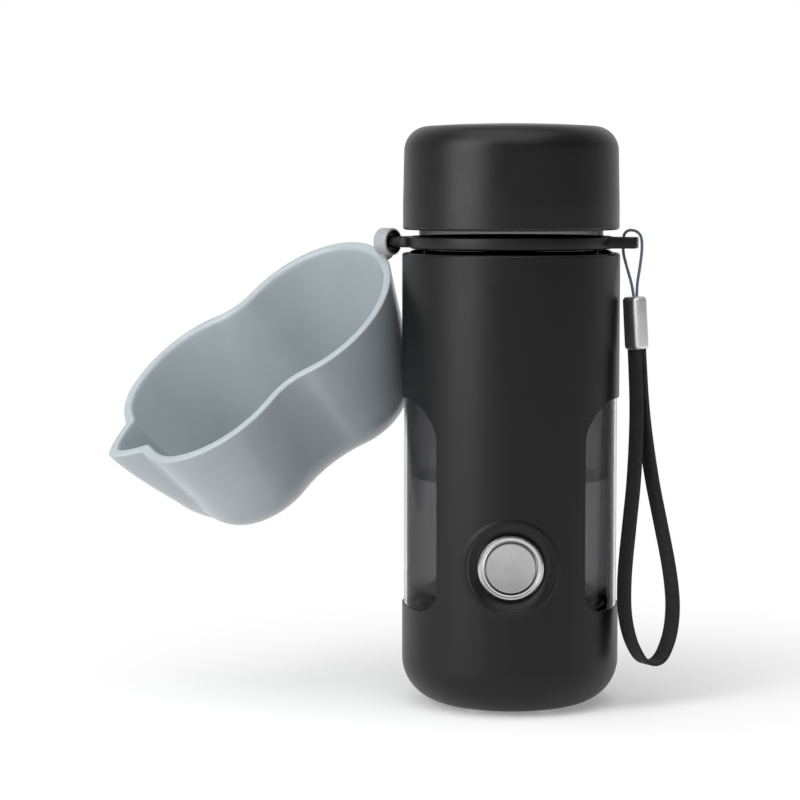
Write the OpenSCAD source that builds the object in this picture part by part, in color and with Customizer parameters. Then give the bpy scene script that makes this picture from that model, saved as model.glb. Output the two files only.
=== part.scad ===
// Travel water bottle for dogs: a clear vessel in a windowed case, a screw cap, a loose neck
// ring that carries a drinking bowl and a wrist lanyard, and a push-button lamp in the base.
// Millimetres. The origin is the centre of the foot, +Z up, and the push button faces -Y.

/* [Case] */
// Outer diameter of the case
body_d = 75; // [74.6:0.2:76]
// Height of the top edge of the case
case_top = 155.8; // [152:0.2:160]
// Wall of the case
case_wall = 1.5; // [1.3:0.1:1.7]
// Radius of the round between the side and the foot
base_round = 15; // [14:0.5:16]
// Radius of the round on the top edge
case_lip = 1; // [0.6:0.1:1.1]
// Underside of the floor inside the case
case_floor_z = 30.5; // [30:0.1:31.2]
// Thickness of the floor inside the case
case_floor_t = 2.8; // [2.4:0.1:3.2]

/* [Base] */
// Radius of the base cover
cover_r = 28; // [27.8:0.1:28.4]
// Thickness of the base cover
cover_t = 2.8; // [2.6:0.1:3]
// Radius of the foot pad
foot_r = 20; // [18:0.5:20.4]
// Thickness of the foot pad
foot_t = 1.3; // [1.1:0.1:1.5]
// How far the foot pad stands below the cover
foot_proud = 0.5; // [0.3:0.1:0.7]
// Distance of the four screws from the cover's edge
screw_in = 4; // [3.8:0.1:4.2]
// Diameter of a screw's shank
screw_d = 2.9; // [2.5:0.1:3]
// Diameter of a screw's head
screw_head_d = 5.4; // [4.8:0.2:5.6]
// Length of a screw's shank
screw_l = 24; // [22:0.5:25]

/* [Windows] */
// Lower edge of the two side windows
window_low = 34.5; // [34.2:0.1:36]
// Upper edge of the two side windows
window_top = 106.4; // [96:0.2:112]
// Half width of a window, seen from the side
window_half = 27.9; // [25:0.1:28.3]
// Radius of the upper corners
window_round_top = 14; // [10:0.5:16]
// Radius of the lower corners
window_round_low = 7; // [4:0.5:9]
// Thickness of a window pane
pane_t = 0.8; // [0.6:0.1:1.1]

/* [Vessel] */
// Wall of the vessel
vessel_wall = 2.6; // [2.2:0.1:3]
// Height of the vessel's inner floor
vessel_floor_z = 39; // [38.2:0.1:42]
// Thickness of the vessel's floor
vessel_floor_t = 2.6; // [2.2:0.1:3]
// How far the neck lies in from the outside of the case
neck_step = 5.8; // [5.6:0.1:6]
// Wall of the neck
neck_wall = 2.7; // [2.3:0.1:3]
// Height of the neck above its ledge
neck_h = 27.1; // [26.4:0.1:28]
// Width of the ledge that the neck ring rests on
ledge_w = 1.2; // [1:0.1:1.4]
// Thickness of the gasket under the vessel
seal_t = 1; // [0.8:0.1:1.1]

/* [Thread] */
// Rise of the thread in one turn
lead = 4; // [3.6:0.1:4.2]
// Turns of the thread
thread_turns = 2.25; // [1.75:0.25:2.25]
// Depth of the neck's thread
thread_h = 1.25; // [1:0.05:1.3]
// Width of the thread at its root
thread_w = 1.7; // [1.4:0.1:1.8]

/* [Cap] */
// Gap between the neck's thread and the cap's liner
thread_gap = 0.4; // [0.3:0.05:0.5]
// Height of the cap
cap_h = 36.3; // [35:0.1:38]
// Wall of the cap's shell
cap_wall = 2; // [1.8:0.1:2.1]
// Radius of the cap's upper edge
cap_round = 8.5; // [6:0.5:9]
// How far the middle of the cap's top stands above its edge
cap_crown = 0.9; // [0.3:0.1:1.2]
// Wall of the threaded liner
liner_wall = 1.75; // [1.6:0.05:1.9]
// Thickness of the gasket in the cap
gasket_t = 1.8; // [1.5:0.1:2]

/* [Neck ring] */
// Width of the ring
ring_w = 3; // [2.6:0.1:3.3]
// Thickness of the ring
ring_t = 4.3; // [4:0.1:4.4]
// Turn of the ring on the neck at rest
ring_turn = -9; // [-9:1:-9]
// How far the lanyard's tab stands out of the ring
tab_out = 8.7; // [8.4:0.1:8.9]
// Width of the tabs
tab_w = 8; // [7.4:0.2:8.6]
// Thickness of the tabs
tab_t = 3.9; // [3.7:0.1:4]
// Distance of the cord hole from the tab's end
tab_hole_in = 5; // [4.8:0.1:5.1]
// Diameter of the cord hole
tab_hole_d = 3.2; // [3:0.1:3.4]
// Diameter of the pin that the bowl turns on
arm_pin_d = 3.9; // [3.7:0.1:4]
// Diameter of the head on that pin
arm_head_d = 5.4; // [5.1:0.1:5.6]

/* [Bowl] */
// Radius of the lobe with the spout
spout_lobe_r = 37; // [35:0.5:38]
// Radius of the lobe with the loop
loop_lobe_r = 34.5; // [33:0.5:35]
// Distance between the centres of the lobes
lobe_gap = 42; // [40:0.5:43]
// Radius of the waist between the lobes
waist_r = 18; // [14:0.5:22]
// Width of the bowl as a share of round lobes
bowl_squeeze = 0.95; // [0.9:0.01:0.96]
// Depth of the bowl
bowl_depth = 54; // [51:0.5:56]
// How far the wall leans in down to its lower round
bowl_draft = 8.5; // [8:0.5:10]
// Radius of the round between the wall and the bottom
bowl_round = 20; // [17:0.5:21]
// Wall of the bowl
bowl_wall = 3.2; // [2.8:0.1:3.4]
// How far the bottom lies towards the spout
bowl_shift = 4.6; // [4.4:0.1:6]
// How far the spout stands out
spout_reach = 10.5; // [8:0.1:11]
// How much thicker than the rest of the bowl the spout's tip is
spout_thick = 1.4; // [0:0.2:2]
// Half the angle that the spout takes up in its lobe
spout_angle = 18; // [14:1:20]
// How much blunter than round the lobe is at its end
bowl_blunt = 5; // [3:0.2:6]
// How much thicker the wall is at the lobe's end, beside the spout
end_thick = 1.4; // [0:0.1:2]
// Tilt of the bowl about its length
bowl_roll = 30; // [30:1:32]
// Slope of the bowl's length
bowl_pitch = 36; // [35:1:36]
// Turn of the bowl about the vertical
bowl_turn = 6; // [6:1:7]
// Outer diameter of the bowl's loop
loop_d = 9.5; // [9.2:0.1:9.7]
// Length of the bowl's loop
loop_l = 6.5; // [6.3:0.1:6.6]
// Turn of the loop against its pin
loop_turn = 23; // [21:1:24]
// Distance of the loop's middle from the ring
arm_out = 8.3; // [8.3:0.1:8.6]

/* [Lanyard] */
// Diameter of the cord
cord_d = 1; // [0.8:0.1:1.1]
// Width of the metal crimp
crimp_w = 9.5; // [9.3:0.1:10]
// Depth of the metal crimp
crimp_t = 5.6; // [5.2:0.1:6]
// Height of the metal crimp
crimp_h = 18.2; // [18:0.1:18.4]
// Width of the wrist strap
strap_w = 8.5; // [8:0.1:9]
// Thickness of the wrist strap
strap_t = 1.4; // [1.2:0.1:1.5]

/* [Push button] */
// Height of the button's axis
button_z = 51.3; // [51:0.1:52.5]
// Gap between the bezel and the wall of the dish, at the dish's floor
dish_gap = 1.8; // [1.4:0.1:2.2]
// How much wider the dish is at its mouth
dish_flare = 2.7; // [2.2:0.1:3]
// Depth of the dish below the front of the case
dish_depth = 4.5; // [4.2:0.1:4.6]
// How far the button's metal bezel stands out of the housing's tube
bezel_w = 1; // [0.9:0.1:1.4]
// Wall of the housing's tube
housing_wall = 1; // [0.9:0.1:1.1]
// Radius of the button's disc
button_r = 8.5; // [8.2:0.1:8.6]
// Gap around the disc
button_gap = 0.5; // [0.4:0.1:0.6]
// Travel of the button
button_travel = 1.5; // [1.2:0.1:1.5]
// Diameter of the button's stem
stem_d = 5; // [4.6:0.1:5.2]
// Wire of the button's spring
spring_wire = 0.4; // [0.3:0.05:0.45]
// Turns of the button's spring
spring_turns = 3; // [2:0.5:3]

/* [Lamp] */
// Diameter of a battery cell
cell_d = 10.5; // [10.3:0.1:10.6]
// Length of a battery cell
cell_l = 44.5; // [44:0.1:44.8]
// Radius of the lamp's circuit board
board_r = 15; // [14:0.5:16]
// Thickness of the circuit boards
board_t = 1.6; // [1.2:0.2:1.6]
// Diameter of the light-emitting diode
led_d = 5; // [4.6:0.2:5.2]
// Radius of the light window in the case's floor
lens_r = 16; // [15:0.2:16.2]
// Thickness of the light window
lens_t = 1.4; // [1.2:0.1:1.6]

/* [Hidden] */
$fn = 96;

// Clearances
slip = 0.2;          // pieces that slide past each other when they are put together
snug = 0.1;          // pieces that are bonded in place
running = 0.07;      // radial clearance of a turning or sliding pin
free = 0.3;          // between pieces that move apart
cut = 1;             // how far a cutting shape runs past what it cuts

// Case and vessel
body_r = body_d / 2;
case_in_r = body_r - case_wall;
open_r = cover_r + slip;
round_x = body_r - base_round;
round_z = foot_proud + base_round;
floor_top = case_floor_z + case_floor_t;
vessel_r = case_in_r - slip;
vessel_in_r = vessel_r - vessel_wall;
vessel_low = floor_top + seal_t;
shoulder_rise = 1.1;
shoulder_h = 2.9;
ledge_z = case_top + shoulder_rise;
neck_r = body_r - neck_step;
neck_in_r = neck_r - neck_wall;
neck_top = ledge_z + neck_h;
pane_r = case_in_r + pane_t;

// Neck ring and cap
ring_r = neck_r + free + ring_w;
tab_reach = ring_r + tab_out;
tab_hole_at = tab_reach - tab_hole_in;
loop_at = ring_r + arm_out;
arm_block = 2.8;     // how far the arm's square part stands out of the ring
arm_block_w = 6;
ring_z = ledge_z + free;
ring_top = ring_z + ring_t;
tab_z = ring_z + ring_t / 2;
cap_gap = 2.2;
cap_z = ring_top + cap_gap;
cap_top = cap_z + cap_h;
liner_in_r = neck_r + thread_h + thread_gap;
liner_r = liner_in_r + liner_wall;
cap_r = liner_r + snug + cap_wall;
liner_z = cap_z + 1.8;
gasket_z = neck_top + slip;
liner_disc_z = gasket_z + gasket_t + snug;
liner_disc_t = 2.2;
bead_z = cap_z + 0.7;
bead_h = 1.1;
thread_z = bead_z + bead_h + 3.4;
thread_tip = 0.6;    // width of a thread's crest as a share of its root

// Button stack, measured along Y from the axis of the bottle
housing_r = button_r + button_gap + housing_wall;
bezel_r = housing_r + bezel_w;
dish_r = bezel_r + dish_gap;
dish_y = -(body_r - dish_depth);
boss_t = 2;
boss_y = dish_y + boss_t;
boss_r = dish_r + dish_flare + 0.8;
seal_h = 0.6;
bezel_back = dish_y - seal_h;
bezel_front = bezel_back - 2.5;
disc_front = bezel_front + 0.4;
disc_t = 2.3;
disc_back = disc_front + disc_t;
disc_dish_r = 89;    // radius of the shallow hollow in the disc's face
spring_len = 3;
guide_front = disc_back + spring_len;
guide_t = 1.2;
guide_back = guide_front + guide_t;
housing_back = guide_back + 1.6;
nut_t = 2.4;
nut_wall = 3.4;
nut_r = housing_r + nut_wall;
clip_t = 0.6;
stem_end = guide_back + 1.3;
switch_front = stem_end + button_travel + snug;
switch_body = 3.5;
switch_knob = 1.3;
switch_w = 6;
board_front = switch_front + switch_knob + switch_body;
tongue_front = board_front + board_t;
tongue_t = 1.5;
tongue_back = tongue_front + tongue_t;
tongue_half = 8;
tongue_up = 10;
pocket_back = tongue_back + 0.5;
pocket_half = boss_r + 0.7;
pocket_top = button_z + boss_r + 0.9;
pocket_wall = 2;

// Base stack, measured up from the table
cover_top = foot_proud + cover_t;
chassis_z = 16;
chassis_t = 2;
chassis_top = chassis_z + chassis_t;
chassis_r = cover_r - 0.6;
leg_r = 3.2;
post_h = 3;
led_board_z = chassis_top + post_h;
contact_t = 0.6;
holder_wall = 1.4;
holder_roof = 0.7;
holder_half_l = cell_l / 2 + snug + contact_t;
cell_y = cell_d / 2 + 0.35;
cell_z = chassis_z - holder_roof - 0.15 - cell_d / 2;
screw_at = cover_r - screw_in;
screw_z = foot_proud + 1.5;
screw_angles = [60, 120, 240, 300];
lens_seat = 1.5;

// Bowl
bowl_sides = 24;     // points on each lobe and, shared, on each waist
pivot_out = 3.2;     // how far the loop's middle lies beyond the lobe, and above the rim's plane
pivot_up = 3;
bowl_pivot = [lobe_gap + loop_lobe_r + pivot_out, 0, pivot_up];
blunt_angle = 50;    // how far round from its end the lobe is blunt
blunt_fade = 0.65;   // how much of that is gone at the bottom
lug_w = 5.2;
lug_out = 0.7;
lug_low = 3.5;
arm_dir = 180 + ring_turn;
bowl_at = [loop_at * cos(arm_dir), loop_at * sin(arm_dir), tab_z];

// Lanyard: the middle of the crimp's lower face, and how the lanyard hangs from there
lanyard_at = [43, -8.3, 122.9];
lanyard_tilt = [-1.2, -3, 27];
// Route of the cord, from the crimp through the tab's hole and back: out, across and up
cord_route = [[42.45, -1.2, 138.5], [42.45, -1.2, 141.4], [41.6, -0.9, 145.8], [39.9, -0.4, 151.5],
    [38.85, 0, 155.5], [38.7, 0, 158.5], [38.75, 0, 161], [39.35, 0, 162.7], [40.5, 0, 163.5],
    [41.9, 0, 163.6], [43.5, 0, 163], [44.7, 0, 161.5], [45.1, 0, 159], [45, -0.2, 155.5],
    [44.4, -0.5, 150.5], [43.75, -0.9, 145.8], [43.55, -1.2, 141.4], [43.55, -1.2, 138.5]];
// Half of the wrist strap's loop: distance from its middle line, and distance below the crimp
strap_route = [[0.8, -12], [0.8, -4], [0.8, 0], [0.85, 8], [1.0, 16.4], [1.4, 24], [2.1, 32],
    [3.0, 40], [4.1, 48], [5.4, 55.5], [6.7, 63], [7.9, 70], [8.9, 77], [9.5, 84], [9.5, 89.5],
    [8.9, 94.5], [7.8, 99], [6.1, 103], [4.2, 106], [2.2, 107.6], [0, 108.1]];

// Points along an arc about c, from angle a0 to a1
function arc(c, r, a0, a1, n) =
    [for (i = [0:n]) let (a = a0 + (a1 - a0) * i / n) c + r * [cos(a), sin(a)]];

// Triangles between two closed rings of n points, and over a ring that is symmetric end to end
function band(a, b, n) = [for (i = [0:n - 1]) let (j = (i + 1) % n)
    each [[a + i, b + i, b + j], [a + i, b + j, a + j]]];
function lid(a, n) = [for (i = [0:n / 2 - 1]) let (p = a + i, q = a + i + 1,
    s = a + (n - 1 - i), t = a + (n - 2 - i))
    each (i == n / 2 - 1 ? [] : i == n / 2 - 2 ? [[p, q, t], [p, t, s]] : [[p, q, t], [p, t, s]])];
function turned_over(faces) = [for (f = faces) [f[2], f[1], f[0]]];

// A tube of the given radius along points that are already close together
module tube(points, r, sides) {
    n = len(points);
    function way(i) = let (v = points[min(i + 1, n - 1)] - points[max(i - 1, 0)]) v / norm(v);
    function across(i) = let (v = cross(way(i), [0, 1, 0.02])) v / norm(v);
    rings = [for (i = [0:n - 1]) let (u = across(i), w = cross(way(i), u))
        each [for (k = [0:sides - 1]) points[i] + r * (cos(360 * k / sides) * u
            + sin(360 * k / sides) * w)]];
    sides_faces = [for (i = [0:n - 2]) each band(i * sides, (i + 1) * sides, sides)];
    ends = [for (k = [1:sides - 2]) each [[0, k, k + 1],
        [(n - 1) * sides, (n - 1) * sides + k + 1, (n - 1) * sides + k]]];
    polyhedron(rings, concat(sides_faces, ends));
}

// Ring-shaped solid between two radii and two heights
module ring(r0, r1, z0, z1) {
    rotate_extrude() translate([r0, z0]) square([r1 - r0, z1 - z0]);
}

// Cone or cylinder on the button's axis, between two places along Y
module on_button(y0, y1, r0, r1) {
    translate([0, y0, button_z]) rotate([-90, 0, 0]) cylinder(h = y1 - y0, r1 = r0, r2 = r1);
}

// Tube on the button's axis
module button_ring(y0, y1, r_in, r_out) {
    difference() {
        on_button(y0, y1, r_out, r_out);
        on_button(y0 - cut, y1 + cut, r_in, r_in);
    }
}

// One window's outline, drawn in by a margin, as a bar that runs out to one side
module window_bar(side, margin) {
    w = window_half - margin;
    low = window_low + margin;
    top = window_top - margin;
    rt = window_round_top - margin;
    rl = window_round_low - margin;
    rotate([90, 0, side * 90]) translate([0, 0, body_r / 3]) linear_extrude(body_r) {
        translate([-w, low + rl]) square([2 * w, top - low - rl - rt]);
        translate([-w + rl, low]) square([2 * (w - rl), rl + cut]);
        translate([-w + rt, top - rt - cut]) square([2 * (w - rt), rt + cut]);
        for (s = [-1, 1]) {
            translate([s * (w - rl), low + rl]) circle(rl);
            translate([s * (w - rt), top - rt]) circle(rt);
        }
    }
}

module at_screws() {
    for (a = screw_angles) rotate([0, 0, a]) translate([screw_at, 0, 0]) children();
}

// Turning frame of the neck ring: the lanyard's tab is on +X, the bowl's arm on -X
module ring_frame() {
    rotate([0, 0, ring_turn]) children();
}

// Helical ridge: root on radius r, crest at radius r + h, which may be smaller than r
module thread_ridge(r, h, z, phase) {
    steps = round(24 * thread_turns);
    sunk = h > 0 ? -0.4 : 0.4;
    half = thread_w / 2;
    sections = [for (i = [0:steps]) let (a = 360 * thread_turns * i / steps + phase,
        grow = min(1, min(i, steps - i) / 5), zc = z + lead * thread_turns * i / steps,
        dir = [cos(a), sin(a)], tip = r + h * max(grow, 0.12)) each [
            [dir[0] * (r + sunk), dir[1] * (r + sunk), zc - half],
            [dir[0] * tip, dir[1] * tip, zc - half * thread_tip],
            [dir[0] * tip, dir[1] * tip, zc + half * thread_tip],
            [dir[0] * (r + sunk), dir[1] * (r + sunk), zc + half]]];
    last = 4 * steps;
    walls = [for (i = [0:steps - 1]) each band(4 * i, 4 * (i + 1), 4)];
    ends = [[0, 2, 1], [0, 3, 2], [last, last + 1, last + 2], [last, last + 2, last + 3]];
    faces = concat(walls, ends);
    polyhedron(sections, h > 0 ? turned_over(faces) : faces);
}

module case() {
    a_out = -acos((open_r - round_x) / base_round);
    a_in = -acos((open_r - round_x) / (base_round - case_wall));
    profile = concat(arc([round_x, round_z], base_round, a_out, 0, 18),
        arc([body_r - case_lip, case_top - case_lip], case_lip, 0, 90, 5),
        [[case_in_r, case_top]],
        arc([round_x, round_z], base_round - case_wall, 0, a_in, 14));
    color([0.11, 0.11, 0.115]) difference() {
        union() {
            rotate_extrude() polygon(profile);
            difference() {
                ring(lens_r - 2, case_in_r + case_wall / 2, case_floor_z, floor_top);
                translate([0, 0, floor_top - lens_seat]) cylinder(h = lens_seat + cut, r = lens_r);
            }
            intersection() {
                on_button(-body_r, boss_y, boss_r, boss_r);
                cylinder(h = case_top, r = body_r - case_wall / 2);
            }
            at_screws() translate([0, 0, chassis_top]) cylinder(h = case_floor_z - chassis_top + cut,
                r = leg_r);
        }
        for (side = [-1, 1]) window_bar(side, 0);
        on_button(-body_r, dish_y, dish_r + dish_flare, dish_r);
        on_button(-body_r - cut, -body_r + 0.01, dish_r + dish_flare, dish_r + dish_flare);
        on_button(dish_y - cut, boss_y + cut, housing_r + snug, housing_r + snug);
        at_screws() translate([0, 0, chassis_top - cut])
            cylinder(h = screw_z + screw_l - chassis_top + 2 * cut, r = screw_d / 2 + 0.05);
        translate([-tongue_half - cut, -body_r + 4, case_floor_z - cut])
            cube([2 * (tongue_half + cut), body_r - 4 + pocket_back, case_floor_t + 2 * cut]);
    }
}

module window_pane(side) {
    color([0.30, 0.31, 0.32, 0.6]) intersection() {
        ring(case_in_r, pane_r, window_low - cut, window_top + cut);
        window_bar(side, snug);
    }
}

module window_pane_left() { window_pane(-1); }

module window_pane_right() { window_pane(1); }

module vessel() {
    top_r = neck_r + ledge_w;
    taper = 6;
    outer = concat([[0, vessel_low], [vessel_r, vessel_low], [vessel_r, ledge_z - shoulder_h]],
        arc([vessel_r - shoulder_h, ledge_z - shoulder_h], shoulder_h, 8, 82, 6),
        [[top_r, ledge_z], [neck_r, ledge_z], [neck_r, neck_top - 0.6],
            [neck_r - 0.6, neck_top], [0, neck_top]]);
    inner = concat([[0, vessel_floor_z]],
        arc([vessel_in_r - 4, vessel_floor_z + 4], 4, -90, 0, 8),
        [[vessel_in_r, ledge_z - shoulder_h - taper], [neck_in_r, ledge_z],
            [neck_in_r, neck_top + cut], [0, neck_top + cut]]);
    color([0.30, 0.31, 0.32, 0.6]) difference() {
        union() {
            rotate_extrude() polygon(outer);
            rotate_extrude() polygon([[neck_r - cut, bead_z], [neck_r, bead_z],
                [liner_in_r - free, bead_z + bead_h / 2], [neck_r, bead_z + bead_h],
                [neck_r - cut, bead_z + bead_h]]);
            thread_ridge(neck_r, thread_h, thread_z, 0);
        }
        difference() {
            rotate_extrude() polygon(inner);
            translate([-pocket_half - pocket_wall, -body_r, vessel_low])
                cube([2 * (pocket_half + pocket_wall), body_r + pocket_back + pocket_wall,
                    pocket_top + pocket_wall - vessel_low]);
        }
        translate([-pocket_half, -body_r, vessel_low - cut])
            cube([2 * pocket_half, body_r + pocket_back, pocket_top - vessel_low + cut]);
        translate([0, 0, vessel_low - cut])
            cylinder(h = vessel_floor_z - vessel_floor_t - vessel_low + cut, r = vessel_in_r - 2);
    }
}

module vessel_seal() {
    color([0.15, 0.15, 0.16]) difference() {
        ring(vessel_in_r - 1, vessel_r - snug, floor_top, vessel_low);
        translate([-pocket_half, -body_r, floor_top - cut])
            cube([2 * pocket_half, body_r + pocket_back, seal_t + 2 * cut]);
    }
}

module light_lens() {
    color([0.85, 0.88, 0.9, 0.7]) translate([0, 0, floor_top - lens_seat])
        difference() {
            cylinder(h = lens_t, r = lens_r - snug);
            translate([-tongue_half - cut, -body_r, -cut])
                cube([2 * (tongue_half + cut), body_r + pocket_back + snug, lens_t + 2 * cut]);
        }
}

module base_cover() {
    a_out = -acos((cover_r - round_x) / base_round);
    color([0.12, 0.12, 0.125]) difference() {
        rotate_extrude() polygon(concat([[0, foot_proud]],
            arc([round_x, round_z], base_round, -90, a_out, 8), [[cover_r, cover_top], [0, cover_top]]));
        translate([0, 0, -cut]) cylinder(h = foot_t + cut, r = foot_r + snug);
        at_screws() {
            translate([0, 0, -cut]) cylinder(h = screw_z + cut, r = screw_head_d / 2 + slip);
            cylinder(h = cover_top + cut, r = screw_d / 2 + slip);
        }
    }
}

module foot_pad() {
    color([0.2, 0.2, 0.2]) cylinder(h = foot_t, r = foot_r);
}

module cover_screws() {
    head_h = 1.1;
    slot_w = 0.8;
    color("silver") at_screws() difference() {
        union() {
            translate([0, 0, screw_z - head_h]) cylinder(h = head_h, r = screw_head_d / 2);
            translate([0, 0, screw_z - 0.1]) cylinder(h = screw_l, r = screw_d / 2);
        }
        for (a = [0, 90]) rotate([0, 0, a]) translate([-1.5, -slot_w / 2, screw_z - head_h - cut])
            cube([3, slot_w, cut + 0.7]);
    }
}

module chassis() {
    color([0.75, 0.76, 0.78]) difference() {
        union() {
            translate([0, 0, chassis_z]) cylinder(h = chassis_t, r = chassis_r);
            at_screws() translate([0, 0, cover_top]) cylinder(h = chassis_z - cover_top + cut,
                r = leg_r);
            for (a = [30, 150, 270]) rotate([0, 0, a]) translate([board_r - 4, 0, chassis_top - cut])
                cylinder(h = post_h + cut, r = 2);
            translate([-tongue_half, tongue_front, chassis_z])
                cube([2 * tongue_half, tongue_t, button_z + tongue_up - chassis_z]);
        }
        at_screws() translate([0, 0, cover_top - cut])
            cylinder(h = chassis_top - cover_top + 2 * cut, r = screw_d / 2 + slip);
        translate([-3.3, tongue_front - cut, led_board_z + 0.4])
            cube([6.6, tongue_t + 2 * cut, 2.8]);
    }
}

module battery_holder() {
    half_y = 2 * cell_y + 0.9;
    inner_y = half_y - holder_wall + 0.6;
    low = cell_z - 4;
    color([0.1, 0.1, 0.1]) difference() {
        translate([-holder_half_l - holder_wall, -half_y, low])
            cube([2 * (holder_half_l + holder_wall), 2 * half_y, chassis_z - low]);
        translate([-holder_half_l, -inner_y, low - cut])
            cube([2 * holder_half_l, 2 * inner_y, chassis_z - holder_roof - low + cut]);
    }
}

module battery_cells() {
    nub_h = 1;
    color([0.75, 0.76, 0.78]) for (s = [-1, 1]) translate([-s * cell_l / 2, s * cell_y, cell_z])
        rotate([0, s * 90, 0]) {
            cylinder(h = cell_l - nub_h, r = cell_d / 2);
            cylinder(h = cell_l, r = 1.9);
        }
}

module battery_contacts() {
    plate = 7;
    color([0.8, 0.78, 0.7]) for (sx = [-1, 1], sy = [-1, 1])
        translate([sx > 0 ? holder_half_l - contact_t : -holder_half_l, sy * cell_y - plate / 2,
            cell_z - 3]) cube([contact_t, plate, plate]);
}

module led_board() {
    color([0.05, 0.35, 0.18]) translate([0, 0, led_board_z]) cylinder(h = board_t, r = board_r);
}

module led_lamp() {
    color([0.95, 0.95, 0.9, 0.8]) translate([0, 0, led_board_z + board_t]) {
        cylinder(h = 1, r = led_d / 2 + 0.4);
        cylinder(h = 3, r = led_d / 2);
        translate([0, 0, 3]) sphere(r = led_d / 2);
    }
}

module switch_board() {
    color([0.05, 0.35, 0.18]) translate([-7, board_front, button_z - 9.3]) cube([14, board_t, 18.6]);
}

module tact_switch() {
    color([0.15, 0.15, 0.16]) {
        translate([-switch_w / 2, switch_front + switch_knob, button_z - switch_w / 2])
            cube([switch_w, switch_body, switch_w]);
        on_button(switch_front, switch_front + switch_knob + 0.1, 1.75, 1.75);
    }
}

module switch_ribbon() {
    t = 0.3;
    w = 5;
    top = button_z - switch_w / 2 - 1;
    low = led_board_z + board_t;
    front = board_front - t;
    inner = -board_r + 4;
    color([0.75, 0.7, 0.55]) translate([-w / 2, 0, 0]) rotate([90, 0, 90]) linear_extrude(w)
        polygon([[front, top], [front, low], [inner, low], [inner, low + t], [front + t, low + t],
            [front + t, top]]);
}

module button_housing() {
    in_r = button_r + button_gap;
    color([0.7, 0.7, 0.71]) difference() {
        union() {
            on_button(bezel_front, bezel_front + 0.6, bezel_r - 0.6, bezel_r);
            on_button(bezel_front + 0.6, bezel_back, bezel_r, bezel_r);
            on_button(bezel_back - 0.1, housing_back, housing_r, housing_r);
        }
        on_button(bezel_front - cut, guide_front, in_r, in_r);
        on_button(guide_front - cut, guide_back + cut, stem_d / 2 + running, stem_d / 2 + running);
        on_button(guide_back, housing_back + cut, in_r - 2, in_r - 2);
    }
}

module button_nut() {
    color([0.6, 0.6, 0.61]) difference() {
        translate([0, boss_y, button_z]) rotate([-90, 0, 0]) cylinder(h = nut_t, r = nut_r, $fn = 6);
        on_button(boss_y - cut, boss_y + nut_t + cut, housing_r + 0.05, housing_r + 0.05);
    }
}

module button_seal() {
    color([0.1, 0.1, 0.1]) button_ring(bezel_back, dish_y, housing_r + snug, bezel_r - 0.2);
}

module button_cap() {
    edge = 0.3;
    color([0.72, 0.72, 0.73]) difference() {
        union() {
            on_button(disc_front, disc_front + edge, button_r - edge, button_r);
            on_button(disc_front + edge, disc_back, button_r, button_r);
            on_button(disc_back - 0.1, stem_end, stem_d / 2, stem_d / 2);
        }
        translate([0, disc_front - disc_dish_r + 0.35, button_z]) sphere(r = disc_dish_r, $fn = 200);
        button_ring(guide_back + snug, guide_back + snug + clip_t + 0.1, stem_d / 2 - 0.5,
            stem_d / 2 + cut);
    }
}

module button_clip() {
    color([0.6, 0.6, 0.61]) button_ring(guide_back + snug + 0.05, guide_back + snug + 0.05 + clip_t,
        stem_d / 2 - 0.45, stem_d / 2 + 1.8);
}

module button_spring() {
    coil_r = stem_d / 2 + 2.5;
    per_turn = 8;
    steps = round(spring_turns * per_turn);
    inset = spring_wire / 2 + 0.02;
    path = [for (i = [0:steps]) let (a = 360 * i / per_turn)
        [coil_r * cos(a), disc_back + inset + (spring_len - 2 * inset) * i / steps,
            button_z + coil_r * sin(a)]];
    echo(spring_least_gap = (spring_len - 2 * inset) / spring_turns - spring_wire);
    color([0.75, 0.75, 0.76]) tube(path, spring_wire / 2, 6);
}

module cap_shell() {
    lip = 0.9;
    draft = 0.4;
    side = cap_top - cap_crown - cap_round;
    crown_r = cap_r - draft - cap_round;
    outer = concat(arc([cap_r - lip, cap_z + lip], lip, -90, 0, 4), [[cap_r, cap_z + 8]],
        arc([crown_r, side], cap_round, 0, 84, 14),
        [[crown_r * 0.7, cap_top - cap_crown * 0.45], [crown_r * 0.35, cap_top - cap_crown * 0.12],
            [0, cap_top]]);
    inner_top = cap_top - cap_crown - cap_wall;
    inner_round = cap_round - cap_wall;
    inner_r = cap_r - cap_wall;
    inner = concat([[0, inner_top]],
        arc([crown_r, inner_top - inner_round], inner_round, 90, 0, 8),
        [[inner_r, inner_top - inner_round - 4], [inner_r, cap_z]]);
    color([0.12, 0.12, 0.125]) rotate_extrude() polygon(concat(outer, inner));
}

module cap_liner() {
    disc_top = liner_disc_z + liner_disc_t;
    stand_r = 24;
    color([0.16, 0.16, 0.17]) {
        ring(liner_in_r, liner_r, liner_z, disc_top);
        translate([0, 0, liner_disc_z]) cylinder(h = liner_disc_t, r = liner_r - 0.5);
        ring(stand_r, stand_r + 1.8, disc_top - 0.1, cap_top - cap_crown - cap_wall);
        thread_ridge(liner_in_r, -(thread_h - snug), thread_z + lead / 2, 0);
    }
}

module cap_gasket() {
    color([0.85, 0.85, 0.83]) ring(neck_in_r - 0.6, neck_r + 0.9, gasket_z, gasket_z + gasket_t);
}

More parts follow.
